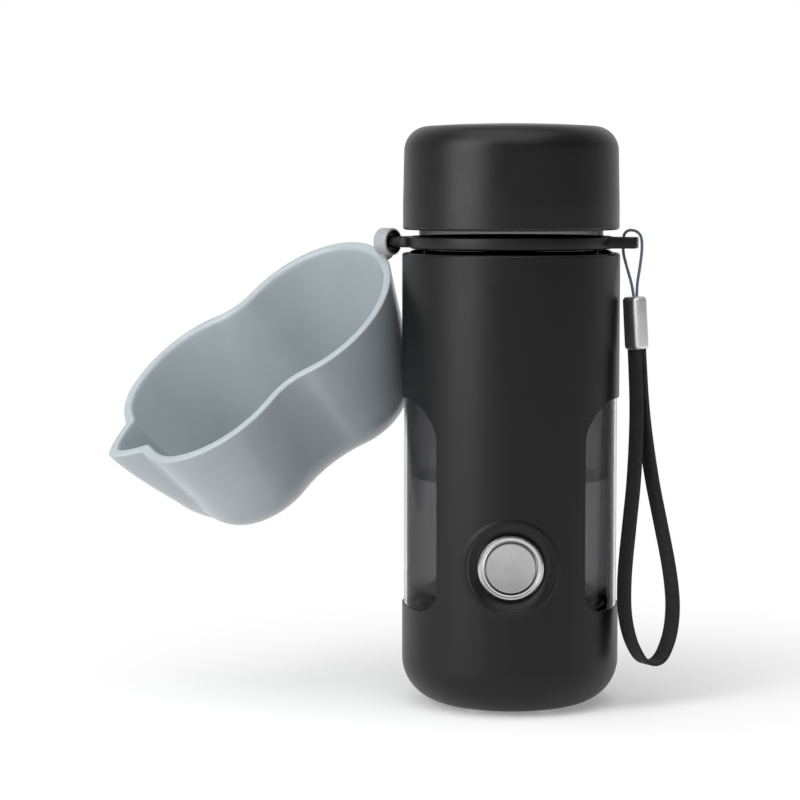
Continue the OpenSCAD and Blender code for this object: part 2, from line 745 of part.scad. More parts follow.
module neck_ring() {
    tab_low = tab_z - tab_t / 2;
    end_r = tab_w / 2;
    arm_end = loop_at + 1.1;
    head_t = 1;
    color([0.12, 0.12, 0.125]) ring_frame() difference() {
        union() {
            ring(neck_r + free, ring_r, ring_z, ring_top);
            translate([neck_r + 1.5, -end_r, tab_low])
                cube([tab_reach - end_r / 2 - neck_r - 1.5, tab_w, tab_t]);
            intersection() {
                translate([tab_reach - end_r * 2, 0, tab_low]) cylinder(h = tab_t, r = end_r * 2);
                translate([tab_reach - end_r, -end_r, tab_low]) cube([end_r + cut, tab_w, tab_t]);
            }
            translate([-ring_r - arm_block, -arm_block_w / 2, tab_low])
                cube([ring_r + arm_block - neck_r - 1.5, arm_block_w, tab_t]);
            translate([-arm_end, 0, tab_z]) rotate([0, 90, 0])
                cylinder(h = arm_end - ring_r + cut, r = arm_pin_d / 2);
            translate([-arm_end, 0, tab_z]) rotate([0, 90, 0]) cylinder(h = head_t, r = arm_head_d / 2);
        }
        translate([tab_hole_at, 0, tab_low - cut]) cylinder(h = tab_t + 2 * cut, r = tab_hole_d / 2);
    }
}

// Radius of the blunt lobe, at an angle from the middle of its far end
function blunt(r, a, by) = r - by * (r / spout_lobe_r)
    * (1 + cos(180 * min(1, abs(a) / blunt_angle))) / 2;

// Reach of the spout beyond its lobe, at an angle from the lobe's far end: 1 at the tip
function spout_shape(a) = let (x = min(1, abs(a) / spout_angle), soft = 0.18)
    1 - (sqrt(x * x + soft * soft) - soft) / (sqrt(1 + soft * soft) - soft);

// One level of the bowl: its outline drawn in by d, at height n, with the spout out by s and
// the lobe's end blunt by b
function bowl_level(d, n, s, b) = let (
    ra = spout_lobe_r - d, rb = loop_lobe_r - d, rw = waist_r + d,
    da = ra + rw, db = rb + rw,
    wx = (da * da - db * db + lobe_gap * lobe_gap) / (2 * lobe_gap),
    wy = sqrt(da * da - wx * wx),
    ta = atan2(wy, wx), tb = atan2(wy, wx - lobe_gap),
    shift = bowl_shift * n / bowl_depth, m = bowl_sides,
    half = concat(
        [for (i = [0:m - 1]) let (a = tb * (i + 0.5) / m) [lobe_gap + rb * cos(a), rb * sin(a)]],
        [for (i = [0:m / 2 - 1]) let (a = 180 + tb + (ta - tb) * (i + 0.5) / (m / 2))
            [wx + rw * cos(a), wy + rw * sin(a)]],
        [for (i = [0:m - 1]) let (a = ta + (180 - spout_angle - ta) * (i + 0.5) / m,
            r = blunt(ra, 180 - a, b)) [r * cos(a), r * sin(a)]],
        [for (i = [0:7]) let (a = 180 - spout_angle * (7.5 - i) / 8,
            r = blunt(ra, 180 - a, b) + s * spout_shape(180 - a)) [r * cos(a), r * sin(a)]]),
    other = [for (i = [len(half) - 1:-1:0]) [half[i][0], -half[i][1]]])
    [for (p = concat(half, other)) [p[0] + shift, p[1] * bowl_squeeze, n]];

module bowl() {
    lip = 0.9;
    straight = bowl_depth - bowl_round;
    in_round = bowl_round - bowl_wall;
    spout_low = bowl_depth * 0.97;
    spout_in = spout_reach + end_thick - spout_thick;
    spout_fade = 1.5;
    function lean(z) = bowl_draft * min(1, z / straight);
    function spout_at(z) = spout_reach * max(0, 1 - pow(z / spout_low, spout_fade));
    function lining_at(z) = spout_at(z) * spout_in / spout_reach;
    skin = concat(
        [[lip * 0.4, 0, spout_reach], [0, lip * 0.5, spout_reach]],
        [for (t = [0.08, 0.2, 0.35, 0.5, 0.65, 0.8, 1]) let (z = straight * t)
            [lean(z), z, spout_at(z)]],
        [for (a = [18, 36, 54, 72, 90]) let (z = straight + bowl_round * sin(a))
            [bowl_draft + bowl_round * (1 - cos(a)), z, spout_at(z)]]);
    lining = concat(
        [for (a = [90, 72, 54, 36, 18]) let (z = straight + in_round * sin(a))
            [bowl_draft + bowl_wall + in_round * (1 - cos(a)), z, lining_at(z)]],
        [for (t = [1, 0.8, 0.65, 0.5, 0.35, 0.2, 0.08]) let (z = straight * t)
            [lean(z) + bowl_wall, z, lining_at(z)]],
        [[bowl_wall, lip * 0.5, spout_in], [bowl_wall - lip * 0.4, 0, spout_in]]);
    levels = concat(skin, lining);
    rings = [for (i = [0:len(levels) - 1]) let (l = levels[i])
        bowl_level(l[0], -l[1], l[2], (bowl_blunt + (i < len(skin) ? 0 : end_thick))
            * (1 - blunt_fade * l[1] / bowl_depth))];
    n = len(rings[0]);
    count = len(levels);
    points = [for (r = rings) each r];
    outer_low = len(skin) - 1;
    walls = [for (k = [0:count - 2]) if (k != outer_low) each band(k * n, (k + 1) * n, n)];
    rim = band((count - 1) * n, 0, n);
    color([0.62, 0.68, 0.73]) bowl_frame() {
        polyhedron(points, concat(turned_over(walls), turned_over(rim), lid(outer_low * n, n),
            turned_over(lid((outer_low + 1) * n, n))));
        translate([lobe_gap + loop_lobe_r - bowl_wall / 2, -lug_w / 2, -lug_low])
            cube([bowl_wall / 2 + lug_out, lug_w, lug_low]);
    }
}

// Frame of the bowl: its length is X, its rim lies at Z = 0 and its hollow opens to +Z
module bowl_frame() {
    translate(bowl_at) rotate([bowl_roll, -bowl_pitch, bowl_turn]) translate(-bowl_pivot) children();
}

module bowl_loop() {
    lip_r = arm_pin_d / 2 + running;
    cave_r = arm_head_d / 2 + 0.25;
    head_in = loop_at + 0.1;
    head_out = loop_at + 1.3;
    bore_in = loop_at - 1.7;
    end = lobe_gap + loop_lobe_r;
    color([0.60, 0.64, 0.67]) difference() {
        union() {
            ring_frame() translate([-loop_at, 0, tab_z]) rotate([0, 0, -loop_turn])
                rotate([0, 90, 0]) translate([0, 0, -loop_l / 2]) cylinder(h = loop_l, r = loop_d / 2);
            bowl_frame() translate([end - bowl_wall / 2, -lug_w / 2, 0])
                cube([bowl_pivot[0] - end + bowl_wall / 2, lug_w, bowl_pivot[2] - 0.5]);
        }
        bowl_frame() translate([end - 20, -10, -10]) cube([20 + lug_out, 20, 10]);
        ring_frame() translate([0, 0, tab_z]) rotate([0, -90, 0]) {
            translate([0, 0, bore_in - cut]) cylinder(h = head_out - bore_in, r = lip_r);
            translate([0, 0, head_in - 0.2]) cylinder(h = head_out - head_in + 0.2, r = cave_r);
            translate([0, 0, bore_in - 3.6]) cylinder(h = 3.6, r1 = 3.6, r2 = lip_r);
        }
    }
}

// Points of the cord's route, with its bends made smooth
function spline(p, i, t) = let (n = len(p) - 1,
    a = p[max(0, i - 1)], b = p[i], c = p[min(n, i + 1)], d = p[min(n, i + 2)])
    0.5 * ((2 * b) + (c - a) * t + (2 * a - 5 * b + 4 * c - d) * t * t
        + (3 * b - a - 3 * c + d) * t * t * t);
function smooth(p, k) = concat([for (i = [0:len(p) - 2], j = [0:k - 1]) spline(p, i, j / k)],
    [p[len(p) - 1]]);

module lanyard_cord() {
    color([0.30, 0.36, 0.42]) ring_frame() tube(smooth(cord_route, 2), cord_d / 2, 8);
}

module lanyard_frame() {
    translate(lanyard_at) rotate([lanyard_tilt[0], lanyard_tilt[1], 0])
        rotate([0, 0, lanyard_tilt[2]]) children();
}

module lanyard_crimp() {
    slot_t = 2 * strap_t + 0.3;
    roof = 2.6;
    mouth_r = cord_d + 0.35;
    edge = 1.2;
    color([0.7, 0.7, 0.71]) lanyard_frame() difference() {
        intersection() {
            translate([-crimp_t / 2, -crimp_w / 2, 0]) cube([crimp_t, crimp_w, crimp_h]);
            translate([0, 0, crimp_h / 2]) rotate([90, 0, 0]) linear_extrude(crimp_w + cut,
                center = true) rounded(crimp_t, crimp_h, edge);
            linear_extrude(crimp_h) rounded(crimp_t, crimp_w, edge);
        }
        translate([-slot_t / 2, -strap_w / 2 - slip / 2, -cut])
            cube([slot_t, strap_w + slip, crimp_h - roof + cut]);
        cylinder(h = crimp_h + cut, r = mouth_r);
    }
}

// Rectangle with round corners, about its middle
module rounded(w, h, r) {
    square([w, h - 2 * r], center = true);
    square([w - 2 * r, h], center = true);
    for (x = [-1, 1], y = [-1, 1]) translate([x * (w / 2 - r), y * (h / 2 - r)]) circle(r);
}

module wrist_strap() {
    half = smooth([for (p = strap_route) [p[0], -p[1]]], 3);
    loop = concat(half, [for (i = [len(half) - 2:-1:0]) [-half[i][0], half[i][1]]]);
    n = len(loop);
    function out(i) = let (v = loop[min(i + 1, n - 1)] - loop[max(i - 1, 0)], u = v / norm(v))
        [-u[1], u[0]];
    band = concat([for (i = [0:n - 1]) loop[i] + out(i) * strap_t / 2],
        [for (i = [n - 1:-1:0]) loop[i] - out(i) * strap_t / 2]);
    color([0.09, 0.09, 0.1]) lanyard_frame() rotate([90, 0, 0])
        linear_extrude(strap_w, center = true) polygon(band);
}

case();
window_pane_left();
window_pane_right();
vessel();
vessel_seal();
light_lens();
base_cover();
foot_pad();
cover_screws();
chassis();
battery_holder();
battery_cells();
battery_contacts();
led_board();
led_lamp();
switch_board();
tact_switch();
switch_ribbon();
button_housing();
button_nut();
button_seal();
button_cap();
button_spring();
button_clip();
cap_shell();
cap_liner();
cap_gasket();
neck_ring();
bowl();
bowl_loop();
lanyard_cord();
lanyard_crimp();
wrist_strap();
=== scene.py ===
import math

import bmesh
import bpy
from mathutils import Euler, Matrix, Vector


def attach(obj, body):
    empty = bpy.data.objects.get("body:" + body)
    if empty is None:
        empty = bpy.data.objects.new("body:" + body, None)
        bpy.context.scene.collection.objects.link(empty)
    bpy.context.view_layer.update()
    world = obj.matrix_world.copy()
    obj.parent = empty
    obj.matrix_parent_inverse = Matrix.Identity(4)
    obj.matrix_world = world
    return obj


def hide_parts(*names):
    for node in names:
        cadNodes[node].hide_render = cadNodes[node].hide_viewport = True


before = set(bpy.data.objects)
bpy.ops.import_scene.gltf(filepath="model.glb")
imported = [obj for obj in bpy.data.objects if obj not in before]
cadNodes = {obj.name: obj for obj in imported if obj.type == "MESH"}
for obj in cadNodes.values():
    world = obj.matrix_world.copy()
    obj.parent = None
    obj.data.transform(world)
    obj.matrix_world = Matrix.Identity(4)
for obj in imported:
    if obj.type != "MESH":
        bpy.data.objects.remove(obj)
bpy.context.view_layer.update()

mm = 0.001


# ---- camera, floor and light

camera = {"place": (-0.008, -0.893, 0.181), "down": 4.88, "left": 1.94, "lens": 116.46}


def placeCamera():
    data = bpy.data.cameras.new("camera")
    data.lens = camera["lens"]
    data.sensor_width = 36
    obj = bpy.data.objects.new("camera", data)
    obj.location = camera["place"]
    obj.rotation_euler = Euler([math.radians(a) for a in (90 - camera["down"], 0, camera["left"])])
    bpy.context.collection.objects.link(obj)
    bpy.context.scene.camera = obj


placeCamera()
print("camera placed")


def addNode(tree, kind, inputs=None, **settings):
    node = tree.nodes.new(kind)
    for key, value in settings.items():
        setattr(node, key, value)
    for key, value in (inputs or {}).items():
        node.inputs[key].default_value = value
    return node


def newSurface(name, values):
    mat = bpy.data.materials.new(name)
    mat.use_nodes = True
    shader = mat.node_tree.nodes["Principled BSDF"]
    for socket, value in values.items():
        shader.inputs[socket].default_value = value
    return mat, mat.node_tree, shader


def seenDirectly(tree):
    # 1 for rays that see the background: straight, in a reflection or through a clear wall
    path = addNode(tree, "ShaderNodeLightPath")
    both = addNode(tree, "ShaderNodeMath", operation="MAXIMUM")
    allThree = addNode(tree, "ShaderNodeMath", operation="MAXIMUM")
    tree.links.new(path.outputs["Is Camera Ray"], both.inputs[0])
    tree.links.new(path.outputs["Is Transmission Ray"], both.inputs[1])
    tree.links.new(both.outputs[0], allThree.inputs[0])
    tree.links.new(path.outputs["Is Glossy Ray"], allThree.inputs[1])
    return path, both.outputs[0], allThree.outputs[0]


studio = {
    "ambient": 0.44,      # world light on the object
    "behind": 1.0,        # what a reflection sees straight behind the object
    "before": 0.2,        # and on the camera's side
    "steep": 2.2,         # how fast one turns into the other
    "key": {"place": (-0.86, -0.72, 0.30), "size": (0.75, 1.5), "watts": 13.0},
    "top": {"place": (-0.1, -0.4, 1.1), "size": (1.3, 1.2), "watts": 7.0},
    "floorGlow": 0.25,    # share of the floor that no shadow darkens
    "floorColour": 0.80,
}


def setWorld():
    world = bpy.data.worlds.new("studio")
    world.use_nodes = True
    tree = world.node_tree
    tree.nodes.clear()
    path, straight, anySight = seenDirectly(tree)
    coords = addNode(tree, "ShaderNodeTexCoord")
    split = addNode(tree, "ShaderNodeSeparateXYZ")
    back01 = addNode(tree, "ShaderNodeMapRange", {"From Min": -0.3, "From Max": 1.0})
    steep = addNode(tree, "ShaderNodeMath", {1: studio["steep"]}, operation="POWER")
    ramp = addNode(tree, "ShaderNodeMapRange", {"To Min": studio["before"],
        "To Max": studio["behind"]})
    glossy = addNode(tree, "ShaderNodeMix", {"A": studio["ambient"]}, data_type="FLOAT")
    level = addNode(tree, "ShaderNodeMix", {"B": 1.0}, data_type="FLOAT")
    back = addNode(tree, "ShaderNodeBackground", {"Color": (1, 1, 1, 1)})
    out = addNode(tree, "ShaderNodeOutputWorld")
    tree.links.new(coords.outputs["Generated"], split.inputs[0])
    tree.links.new(split.outputs["Y"], back01.inputs["Value"])
    tree.links.new(back01.outputs[0], steep.inputs[0])
    tree.links.new(steep.outputs[0], ramp.inputs["Value"])
    tree.links.new(path.outputs["Is Glossy Ray"], glossy.inputs["Factor"])
    tree.links.new(ramp.outputs[0], glossy.inputs["B"])
    tree.links.new(straight, level.inputs["Factor"])
    tree.links.new(glossy.outputs[0], level.inputs["A"])
    tree.links.new(level.outputs[0], back.inputs["Strength"])
    tree.links.new(back.outputs[0], out.inputs[0])
    bpy.context.scene.world = world


def addLamp(name, lamp):
    data = bpy.data.lights.new(name, "AREA")
    data.shape = "RECTANGLE"
    data.size, data.size_y = lamp["size"]
    data.energy = lamp["watts"]
    obj = bpy.data.objects.new(name, data)
    obj.location = lamp["place"]
    aim = Vector((0, 0, 0.1)) - Vector(lamp["place"])
    obj.rotation_euler = aim.to_track_quat("-Z", "Y").to_euler()
    bpy.context.collection.objects.link(obj)


def layFloor():
    # near the object the floor takes its shadow, and further out it is plain white
    mesh = bpy.data.meshes.new("floor")
    bm = bmesh.new()
    bmesh.ops.create_grid(bm, x_segments=1, y_segments=1, size=3)
    bm.to_mesh(mesh)
    bm.free()
    floor = bpy.data.objects.new("floor", mesh)
    bpy.context.collection.objects.link(floor)
    mat = bpy.data.materials.new("whiteFloor")
    mat.use_nodes = True
    tree = mat.node_tree
    tree.nodes.clear()
    path, straight, anySight = seenDirectly(tree)
    coords = addNode(tree, "ShaderNodeTexCoord")
    reach = addNode(tree, "ShaderNodeVectorMath", operation="LENGTH")
    fade = addNode(tree, "ShaderNodeMapRange", {"From Min": 0.06, "From Max": 0.24,
        "To Min": 0.0, "To Max": 1.0}, interpolation_type="SMOOTHSTEP")
    glowLevel = addNode(tree, "ShaderNodeMapRange", {"To Min": studio["floorGlow"], "To Max": 1.0})
    glowSeen = addNode(tree, "ShaderNodeMath", operation="MULTIPLY")
    paint = addNode(tree, "ShaderNodeBsdfDiffuse",
        {"Color": (studio["floorColour"],) * 3 + (1,)})
    none = addNode(tree, "ShaderNodeBsdfDiffuse", {"Color": (0, 0, 0, 1)})
    fadeSeen = addNode(tree, "ShaderNodeMath", operation="MULTIPLY")
    paintLeft = addNode(tree, "ShaderNodeMixShader")
    glow = addNode(tree, "ShaderNodeEmission", {"Color": (1, 1, 1, 1)})
    total = addNode(tree, "ShaderNodeAddShader")
    out = addNode(tree, "ShaderNodeOutputMaterial")
    tree.links.new(coords.outputs["Object"], reach.inputs[0])
    tree.links.new(reach.outputs["Value"], fade.inputs["Value"])
    tree.links.new(fade.outputs[0], glowLevel.inputs["Value"])
    tree.links.new(glowLevel.outputs[0], glowSeen.inputs[0])
    tree.links.new(anySight, glowSeen.inputs[1])
    tree.links.new(fade.outputs[0], fadeSeen.inputs[0])
    tree.links.new(anySight, fadeSeen.inputs[1])
    tree.links.new(fadeSeen.outputs[0], paintLeft.inputs[0])
    tree.links.new(paint.outputs[0], paintLeft.inputs[1])
    tree.links.new(none.outputs[0], paintLeft.inputs[2])
    tree.links.new(glowSeen.outputs[0], glow.inputs["Strength"])
    tree.links.new(paintLeft.outputs[0], total.inputs[0])
    tree.links.new(glow.outputs[0], total.inputs[1])
    tree.links.new(total.outputs[0], out.inputs["Surface"])
    mesh.materials.append(mat)


setWorld()
for lampName in ("key", "top"):
    addLamp(lampName, studio[lampName])
layFloor()
bpy.context.scene.view_settings.view_transform = "Standard"
print("studio set up")


# ---- shapes

def arcPoints(centre, radius, start, end, steps):
    turn = [math.radians(start + (end - start) * i / steps) for i in range(steps + 1)]
    return [(centre[0] + radius * math.cos(a), centre[1] + radius * math.sin(a)) for a in turn]


def finishMesh(bm, name, body, material, sharp=32, bevel=None, subdivide=0):
    mesh = bpy.data.meshes.new(name)
    bm.to_mesh(mesh)
    bm.free()
    mesh.shade_smooth()
    if sharp:
        mesh.set_sharp_from_angle(angle=math.radians(sharp))
    piece = bpy.data.objects.new(name, mesh)
    bpy.context.collection.objects.link(piece)
    mesh.materials.append(material)
    if bevel:
        mod = piece.modifiers.new("edges", "BEVEL")
        mod.width = bevel * mm
        mod.segments = 2
        mod.limit_method = "ANGLE"
        mod.angle_limit = math.radians(40)
        mod.harden_normals = False
    if subdivide:
        mod = piece.modifiers.new("smooth", "SUBSURF")
        mod.levels = mod.render_levels = subdivide
    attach(piece, body)
    return piece


def lathe(profile, steps=128, closed=False):
    # a profile of (radius, height) in millimetres, turned about Z
    bm = bmesh.new()
    verts = [bm.verts.new((r * mm, 0, z * mm)) for r, z in profile]
    edges = [bm.edges.new(pair) for pair in zip(verts, verts[1:])]
    if closed:
        edges.append(bm.edges.new((verts[-1], verts[0])))
    bmesh.ops.spin(bm, geom=verts + edges, axis=(0, 0, 1), cent=(0, 0, 0), angle=math.tau,
        steps=steps, use_merge=True)
    bmesh.ops.remove_doubles(bm, verts=bm.verts, dist=1e-6)
    bmesh.ops.dissolve_degenerate(bm, dist=1e-7, edges=bm.edges)
    bmesh.ops.recalc_face_normals(bm, faces=bm.faces)
    return bm


def smoothRoute(points, parts):
    # the same soft bends as the solid's: a curve through every point
    route = [Vector(p) for p in points]
    last = len(route) - 1
    curve = []
    for i in range(last):
        a, b, c, d = route[max(0, i - 1)], route[i], route[i + 1], route[min(last, i + 2)]
        for k in range(parts):
            t = k / parts
            curve.append(0.5 * (2 * b + (c - a) * t + (2 * a - 5 * b + 4 * c - d) * t * t
                + (3 * b - a - 3 * c + d) * t ** 3))
    return curve + [route[last]]


def sweep(outline, matrices, closedEnds=True):
    # pulls a closed outline of points through a row of frames, and lays a UV map in metres
    bm = bmesh.new()
    count = len(outline)
    place = bm.verts.layers.int.new("place")
    step = bm.verts.layers.int.new("step")
    ring = bmesh.ops.create_circle(bm, segments=count, radius=1)["verts"]
    for i, v in enumerate(ring):
        v[place] = i
        v.co = matrices[0] @ Vector((*outline[i], 0))
    edges = list(bm.edges)
    first = list(edges)
    for k, matrix in enumerate(matrices[1:], 1):
        grown = bmesh.ops.extrude_edge_only(bm, edges=edges)["geom"]
        edges = [e for e in grown if isinstance(e, bmesh.types.BMEdge)
            and all(v in set(g for g in grown if isinstance(g, bmesh.types.BMVert)) for v in e.verts)]
        for v in grown:
            if isinstance(v, bmesh.types.BMVert):
                v[step] = k
                v.co = matrix @ Vector((*outline[v[place]], 0))
    around = [0.0]
    for i in range(count):
        around.append(around[-1] + (Vector(outline[(i + 1) % count]) - Vector(outline[i])).length)
    along = [0.0]
    for a, b in zip(matrices, matrices[1:]):
        along.append(along[-1] + (b.translation - a.translation).length)
    uv = bm.loops.layers.uv.new("UVMap")
    for face in bm.faces:
        wraps = {loop.vert[place] for loop in face.loops} >= {0, count - 1} and count > 3
        for loop in face.loops:
            i = loop.vert[place]
            u = around[count] if wraps and i == 0 else around[i]
            loop[uv].uv = (u / mm, along[loop.vert[step]] / mm)
    if closedEnds:
        bmesh.ops.contextual_create(bm, geom=first)
        bmesh.ops.contextual_create(bm, geom=edges)
    bmesh.ops.recalc_face_normals(bm, faces=bm.faces)
    return bm


def framesAlong(curve, side):
    # frames whose X stays near the given side and whose Z runs along the curve
    frames = []
    for i, point in enumerate(curve):
        ahead = (curve[min(i + 1, len(curve) - 1)] - curve[max(i - 1, 0)]).normalized()
        x = (side - ahead * side.dot(ahead)).normalized()
        y = ahead.cross(x)
        frames.append(Matrix.Translation(point) @ Matrix((x, y, ahead)).transposed().to_4x4())
    return frames


def cutAway(bm, cutter):
    # takes one closed shape out of another
    objects = []
    for shape in (bm, cutter):
        mesh = bpy.data.meshes.new("cutting")
        shape.to_mesh(mesh)
        shape.free()
        objects.append(bpy.data.objects.new("cutting", mesh))
        bpy.context.collection.objects.link(objects[-1])
    mod = objects[0].modifiers.new("cut", "BOOLEAN")
    mod.operation = "DIFFERENCE"
    mod.object = objects[1]
    mod.solver = "EXACT"
    result = objects[0].evaluated_get(bpy.context.evaluated_depsgraph_get()).to_mesh()
    out = bmesh.new()
    out.from_mesh(result)
    for obj in objects:
        bpy.data.objects.remove(obj)
    return out


# ---- finishes

def objectCoords(tree, stretch=(1, 1, 1), turn=(0, 0, 0)):
    coords = addNode(tree, "ShaderNodeTexCoord")
    mapping = addNode(tree, "ShaderNodeMapping", {"Scale": stretch, "Rotation": turn})
    tree.links.new(coords.outputs["Object"], mapping.inputs["Vector"])
    return mapping.outputs["Vector"]


def addNoise(tree, coords, size, detail=3.0):
    # size is the width of a speck in millimetres
    noise = addNode(tree, "ShaderNodeTexNoise", {"Scale": 1 / (size * mm), "Detail": detail,
        "Roughness": 0.55})
    tree.links.new(coords, noise.inputs["Vector"])
    return noise.outputs["Fac"]


def spread(tree, value, low, high, fromLow=0.3, fromHigh=0.7):
    out = addNode(tree, "ShaderNodeMapRange", {"From Min": fromLow, "From Max": fromHigh,
        "To Min": low, "To Max": high})
    tree.links.new(value, out.inputs["Value"])
    return out.outputs[0]


def tint(tree, value, dark, light):
    mix = addNode(tree, "ShaderNodeMix", data_type="RGBA")
    mix.inputs["A"].default_value = (*dark, 1)
    mix.inputs["B"].default_value = (*light, 1)
    tree.links.new(value, mix.inputs["Factor"])
    return mix.outputs["Result"]


def emboss(tree, shader, height, depth, strength=1.0, below=None):
    # depth in millimetres
    bump = addNode(tree, "ShaderNodeBump", {"Distance": depth * mm, "Strength": strength})
    tree.links.new(height, bump.inputs["Height"])
    if below:
        tree.links.new(below.outputs["Normal"], bump.inputs["Normal"])
    tree.links.new(bump.outputs["Normal"], shader.inputs["Normal"])
    return bump


def moulded(name, colour, rough, grain=0.25, grainDepth=0.01, patch=14, vary=0.08, soften=0,
        **sockets):
    # moulded plastic: a fine grain, soft patches that are a little duller or paler, and edges
    # that look rounded by soften millimetres
    values = {"Roughness": rough, **{k.replace("_", " "): v for k, v in sockets.items()}}
    mat, tree, shader = newSurface(name, values)
    coords = objectCoords(tree)
    patches = addNoise(tree, coords, patch, 4)
    tree.links.new(spread(tree, patches, rough * (1 - vary), rough * (1 + vary)),
        shader.inputs["Roughness"])
    dark = [c * (1 - vary) for c in colour]
    light = [c * (1 + vary) for c in colour]
    tree.links.new(tint(tree, spread(tree, patches, 0, 1), dark, light),
        shader.inputs["Base Color"])
    softened = None
    if soften:
        softened = addNode(tree, "ShaderNodeBevel", {"Radius": soften * mm}, samples=6)
    emboss(tree, shader, addNoise(tree, coords, grain, 2), grainDepth, below=softened)
    return mat


def drawnMetal(name, colour, rough, stretch, scratch=0.12, depth=0.004, **sockets):
    # metal with fine drawn lines: stretch squeezes the pattern along the lines
    values = {"Metallic": 1.0, "Roughness": rough, **{k.replace("_", " "): v
        for k, v in sockets.items()}}
    mat, tree, shader = newSurface(name, values)
    lines = addNoise(tree, objectCoords(tree, stretch), scratch, 4)
    stains = addNoise(tree, objectCoords(tree), 6, 3)
    tree.links.new(spread(tree, lines, rough * 0.75, rough * 1.3), shader.inputs["Roughness"])
    tree.links.new(tint(tree, spread(tree, stains, 0, 1), [c * 0.9 for c in colour], colour),
        shader.inputs["Base Color"])
    emboss(tree, shader, lines, depth)
    return mat


def clearPlastic(name, colour, rough, smoke=0, **sockets):
    # smoke is how much darker the plastic gets with each metre of its thickness
    values = {"Transmission Weight": 1.0, "IOR": 1.49, "Roughness": rough,
        "Base Color": (*colour, 1), **{k.replace("_", " "): v for k, v in sockets.items()}}
    mat, tree, shader = newSurface(name, values)
    haze = addNoise(tree, objectCoords(tree), 9, 4)
    tree.links.new(spread(tree, haze, rough * 0.6, rough * 1.5), shader.inputs["Roughness"])
    if smoke:
        inside = addNode(tree, "ShaderNodeVolumeAbsorption",
            {"Color": (0.5, 0.5, 0.503, 1), "Density": smoke})
        tree.links.new(inside.outputs[0], tree.nodes["Material Output"].inputs["Volume"])
    return mat


def roundMark(mat, near, top, far, depth):
    # a soft ridge (or with a negative depth a groove) round the button: three radii in millimetres
    tree = mat.node_tree
    split = addNode(tree, "ShaderNodeSeparateXYZ")
    tree.links.new(objectCoords(tree), split.inputs[0])
    flat = addNode(tree, "ShaderNodeCombineXYZ")
    up = addNode(tree, "ShaderNodeMath", {1: 51.3 * mm}, operation="SUBTRACT")
    reach = addNode(tree, "ShaderNodeVectorMath", operation="LENGTH")
    tree.links.new(split.outputs["Z"], up.inputs[0])
    tree.links.new(split.outputs["X"], flat.inputs["X"])
    tree.links.new(up.outputs[0], flat.inputs["Z"])
    tree.links.new(flat.outputs[0], reach.inputs[0])
    inFront = addNode(tree, "ShaderNodeMath", {1: 0.0}, operation="LESS_THAN")
    tree.links.new(split.outputs["Y"], inFront.inputs[0])
    rise = addNode(tree, "ShaderNodeMapRange", {"From Min": near * mm, "From Max": top * mm},
        interpolation_type="SMOOTHSTEP")
    fall = addNode(tree, "ShaderNodeMapRange", {"From Min": far * mm, "From Max": top * mm},
        interpolation_type="SMOOTHSTEP")
    both = addNode(tree, "ShaderNodeMath", operation="MULTIPLY")
    height = addNode(tree, "ShaderNodeMath", operation="MULTIPLY")
    for end in (rise, fall):
        tree.links.new(reach.outputs["Value"], end.inputs["Value"])
    tree.links.new(rise.outputs[0], both.inputs[0])
    tree.links.new(fall.outputs[0], both.inputs[1])
    tree.links.new(both.outputs[0], height.inputs[0])
    tree.links.new(inFront.outputs[0], height.inputs[1])
    shader = tree.nodes["Principled BSDF"]
    old = shader.inputs["Normal"].links[0].from_node
    emboss(tree, shader, height.outputs[0], abs(depth), below=old)
    shader.inputs["Normal"].links[0].from_node.invert = depth < 0


caseBlack = moulded("caseBlack", (0.005, 0.005, 0.0051), 0.40, grain=0.22, grainDepth=0.006,
    soften=0.3, Specular_IOR_Level=0.3)
capBlack = moulded("capBlack", (0.005, 0.005, 0.0051), 0.38, grain=0.22, grainDepth=0.006,
    Specular_IOR_Level=0.38)
ringBlack = moulded("ringBlack", (0.005, 0.005, 0.0051), 0.42, grain=0.2, grainDepth=0.006,
    Specular_IOR_Level=0.35)
innerBlack = moulded("innerBlack", (0.03, 0.03, 0.031), 0.5)
innerGrey = moulded("innerGrey", (0.5, 0.51, 0.53), 0.5)
rubberBlack = moulded("rubberBlack", (0.02, 0.02, 0.02), 0.75, grain=0.4, grainDepth=0.02)
gasketWhite = moulded("gasketWhite", (0.72, 0.72, 0.69), 0.55)
boardGreen = moulded("boardGreen", (0.02, 0.15, 0.07), 0.35, grain=1.2)
ribbonAmber = moulded("ribbonAmber", (0.5, 0.3, 0.08), 0.3)
frostedClear = clearPlastic("frostedClear", (0.9, 0.92, 0.94), 0.35)
smokyPane = clearPlastic("smokyPane", (0.86, 0.86, 0.865), 0.01, smoke=160, IOR=1.02,
    Coat_Weight=0.25, Coat_IOR=1.4, Coat_Roughness=0.02)
# the thin clear walls barely bend what shows through them, and the panes' shine comes from a coat
smokyVessel = clearPlastic("smokyVessel", (0.5, 0.5, 0.505), 0.01, smoke=200, IOR=1.02)
# the water glows faintly with its own emission: painted light, for no lamp is in it
glowingWater = clearPlastic("glowingWater", (1, 1, 1), 0.005, IOR=1.01,
    Emission_Color=(1, 1, 1, 1), Emission_Strength=0.05)
# the water's top face is tinted dark: painted shade that draws the dark waterline
waterlineShade = clearPlastic("waterlineShade", (0.3, 0.3, 0.305), 0.01, IOR=1.01)
steel = drawnMetal("steel", (0.55, 0.55, 0.56), 0.3, (1, 1, 0.2))
cellSteel = drawnMetal("cellSteel", (0.5, 0.5, 0.52), 0.35, (0.1, 1, 1))
contactMetal = drawnMetal("contactMetal", (0.6, 0.56, 0.45), 0.35, (1, 1, 0.2))
buttonMetal = drawnMetal("buttonMetal", (0.52, 0.52, 0.52), 0.33, (0.15, 1, 1), 0.16, 0.003)
bezelMetal = drawnMetal("bezelMetal", (0.62, 0.62, 0.62), 0.25, (1, 1, 0.3), 0.16, 0.002)
roundMark(caseBlack, 14.9, 15.6, 17.0, 0.22)
roundMark(bezelMetal, 9.0, 9.5, 10.0, -0.12)
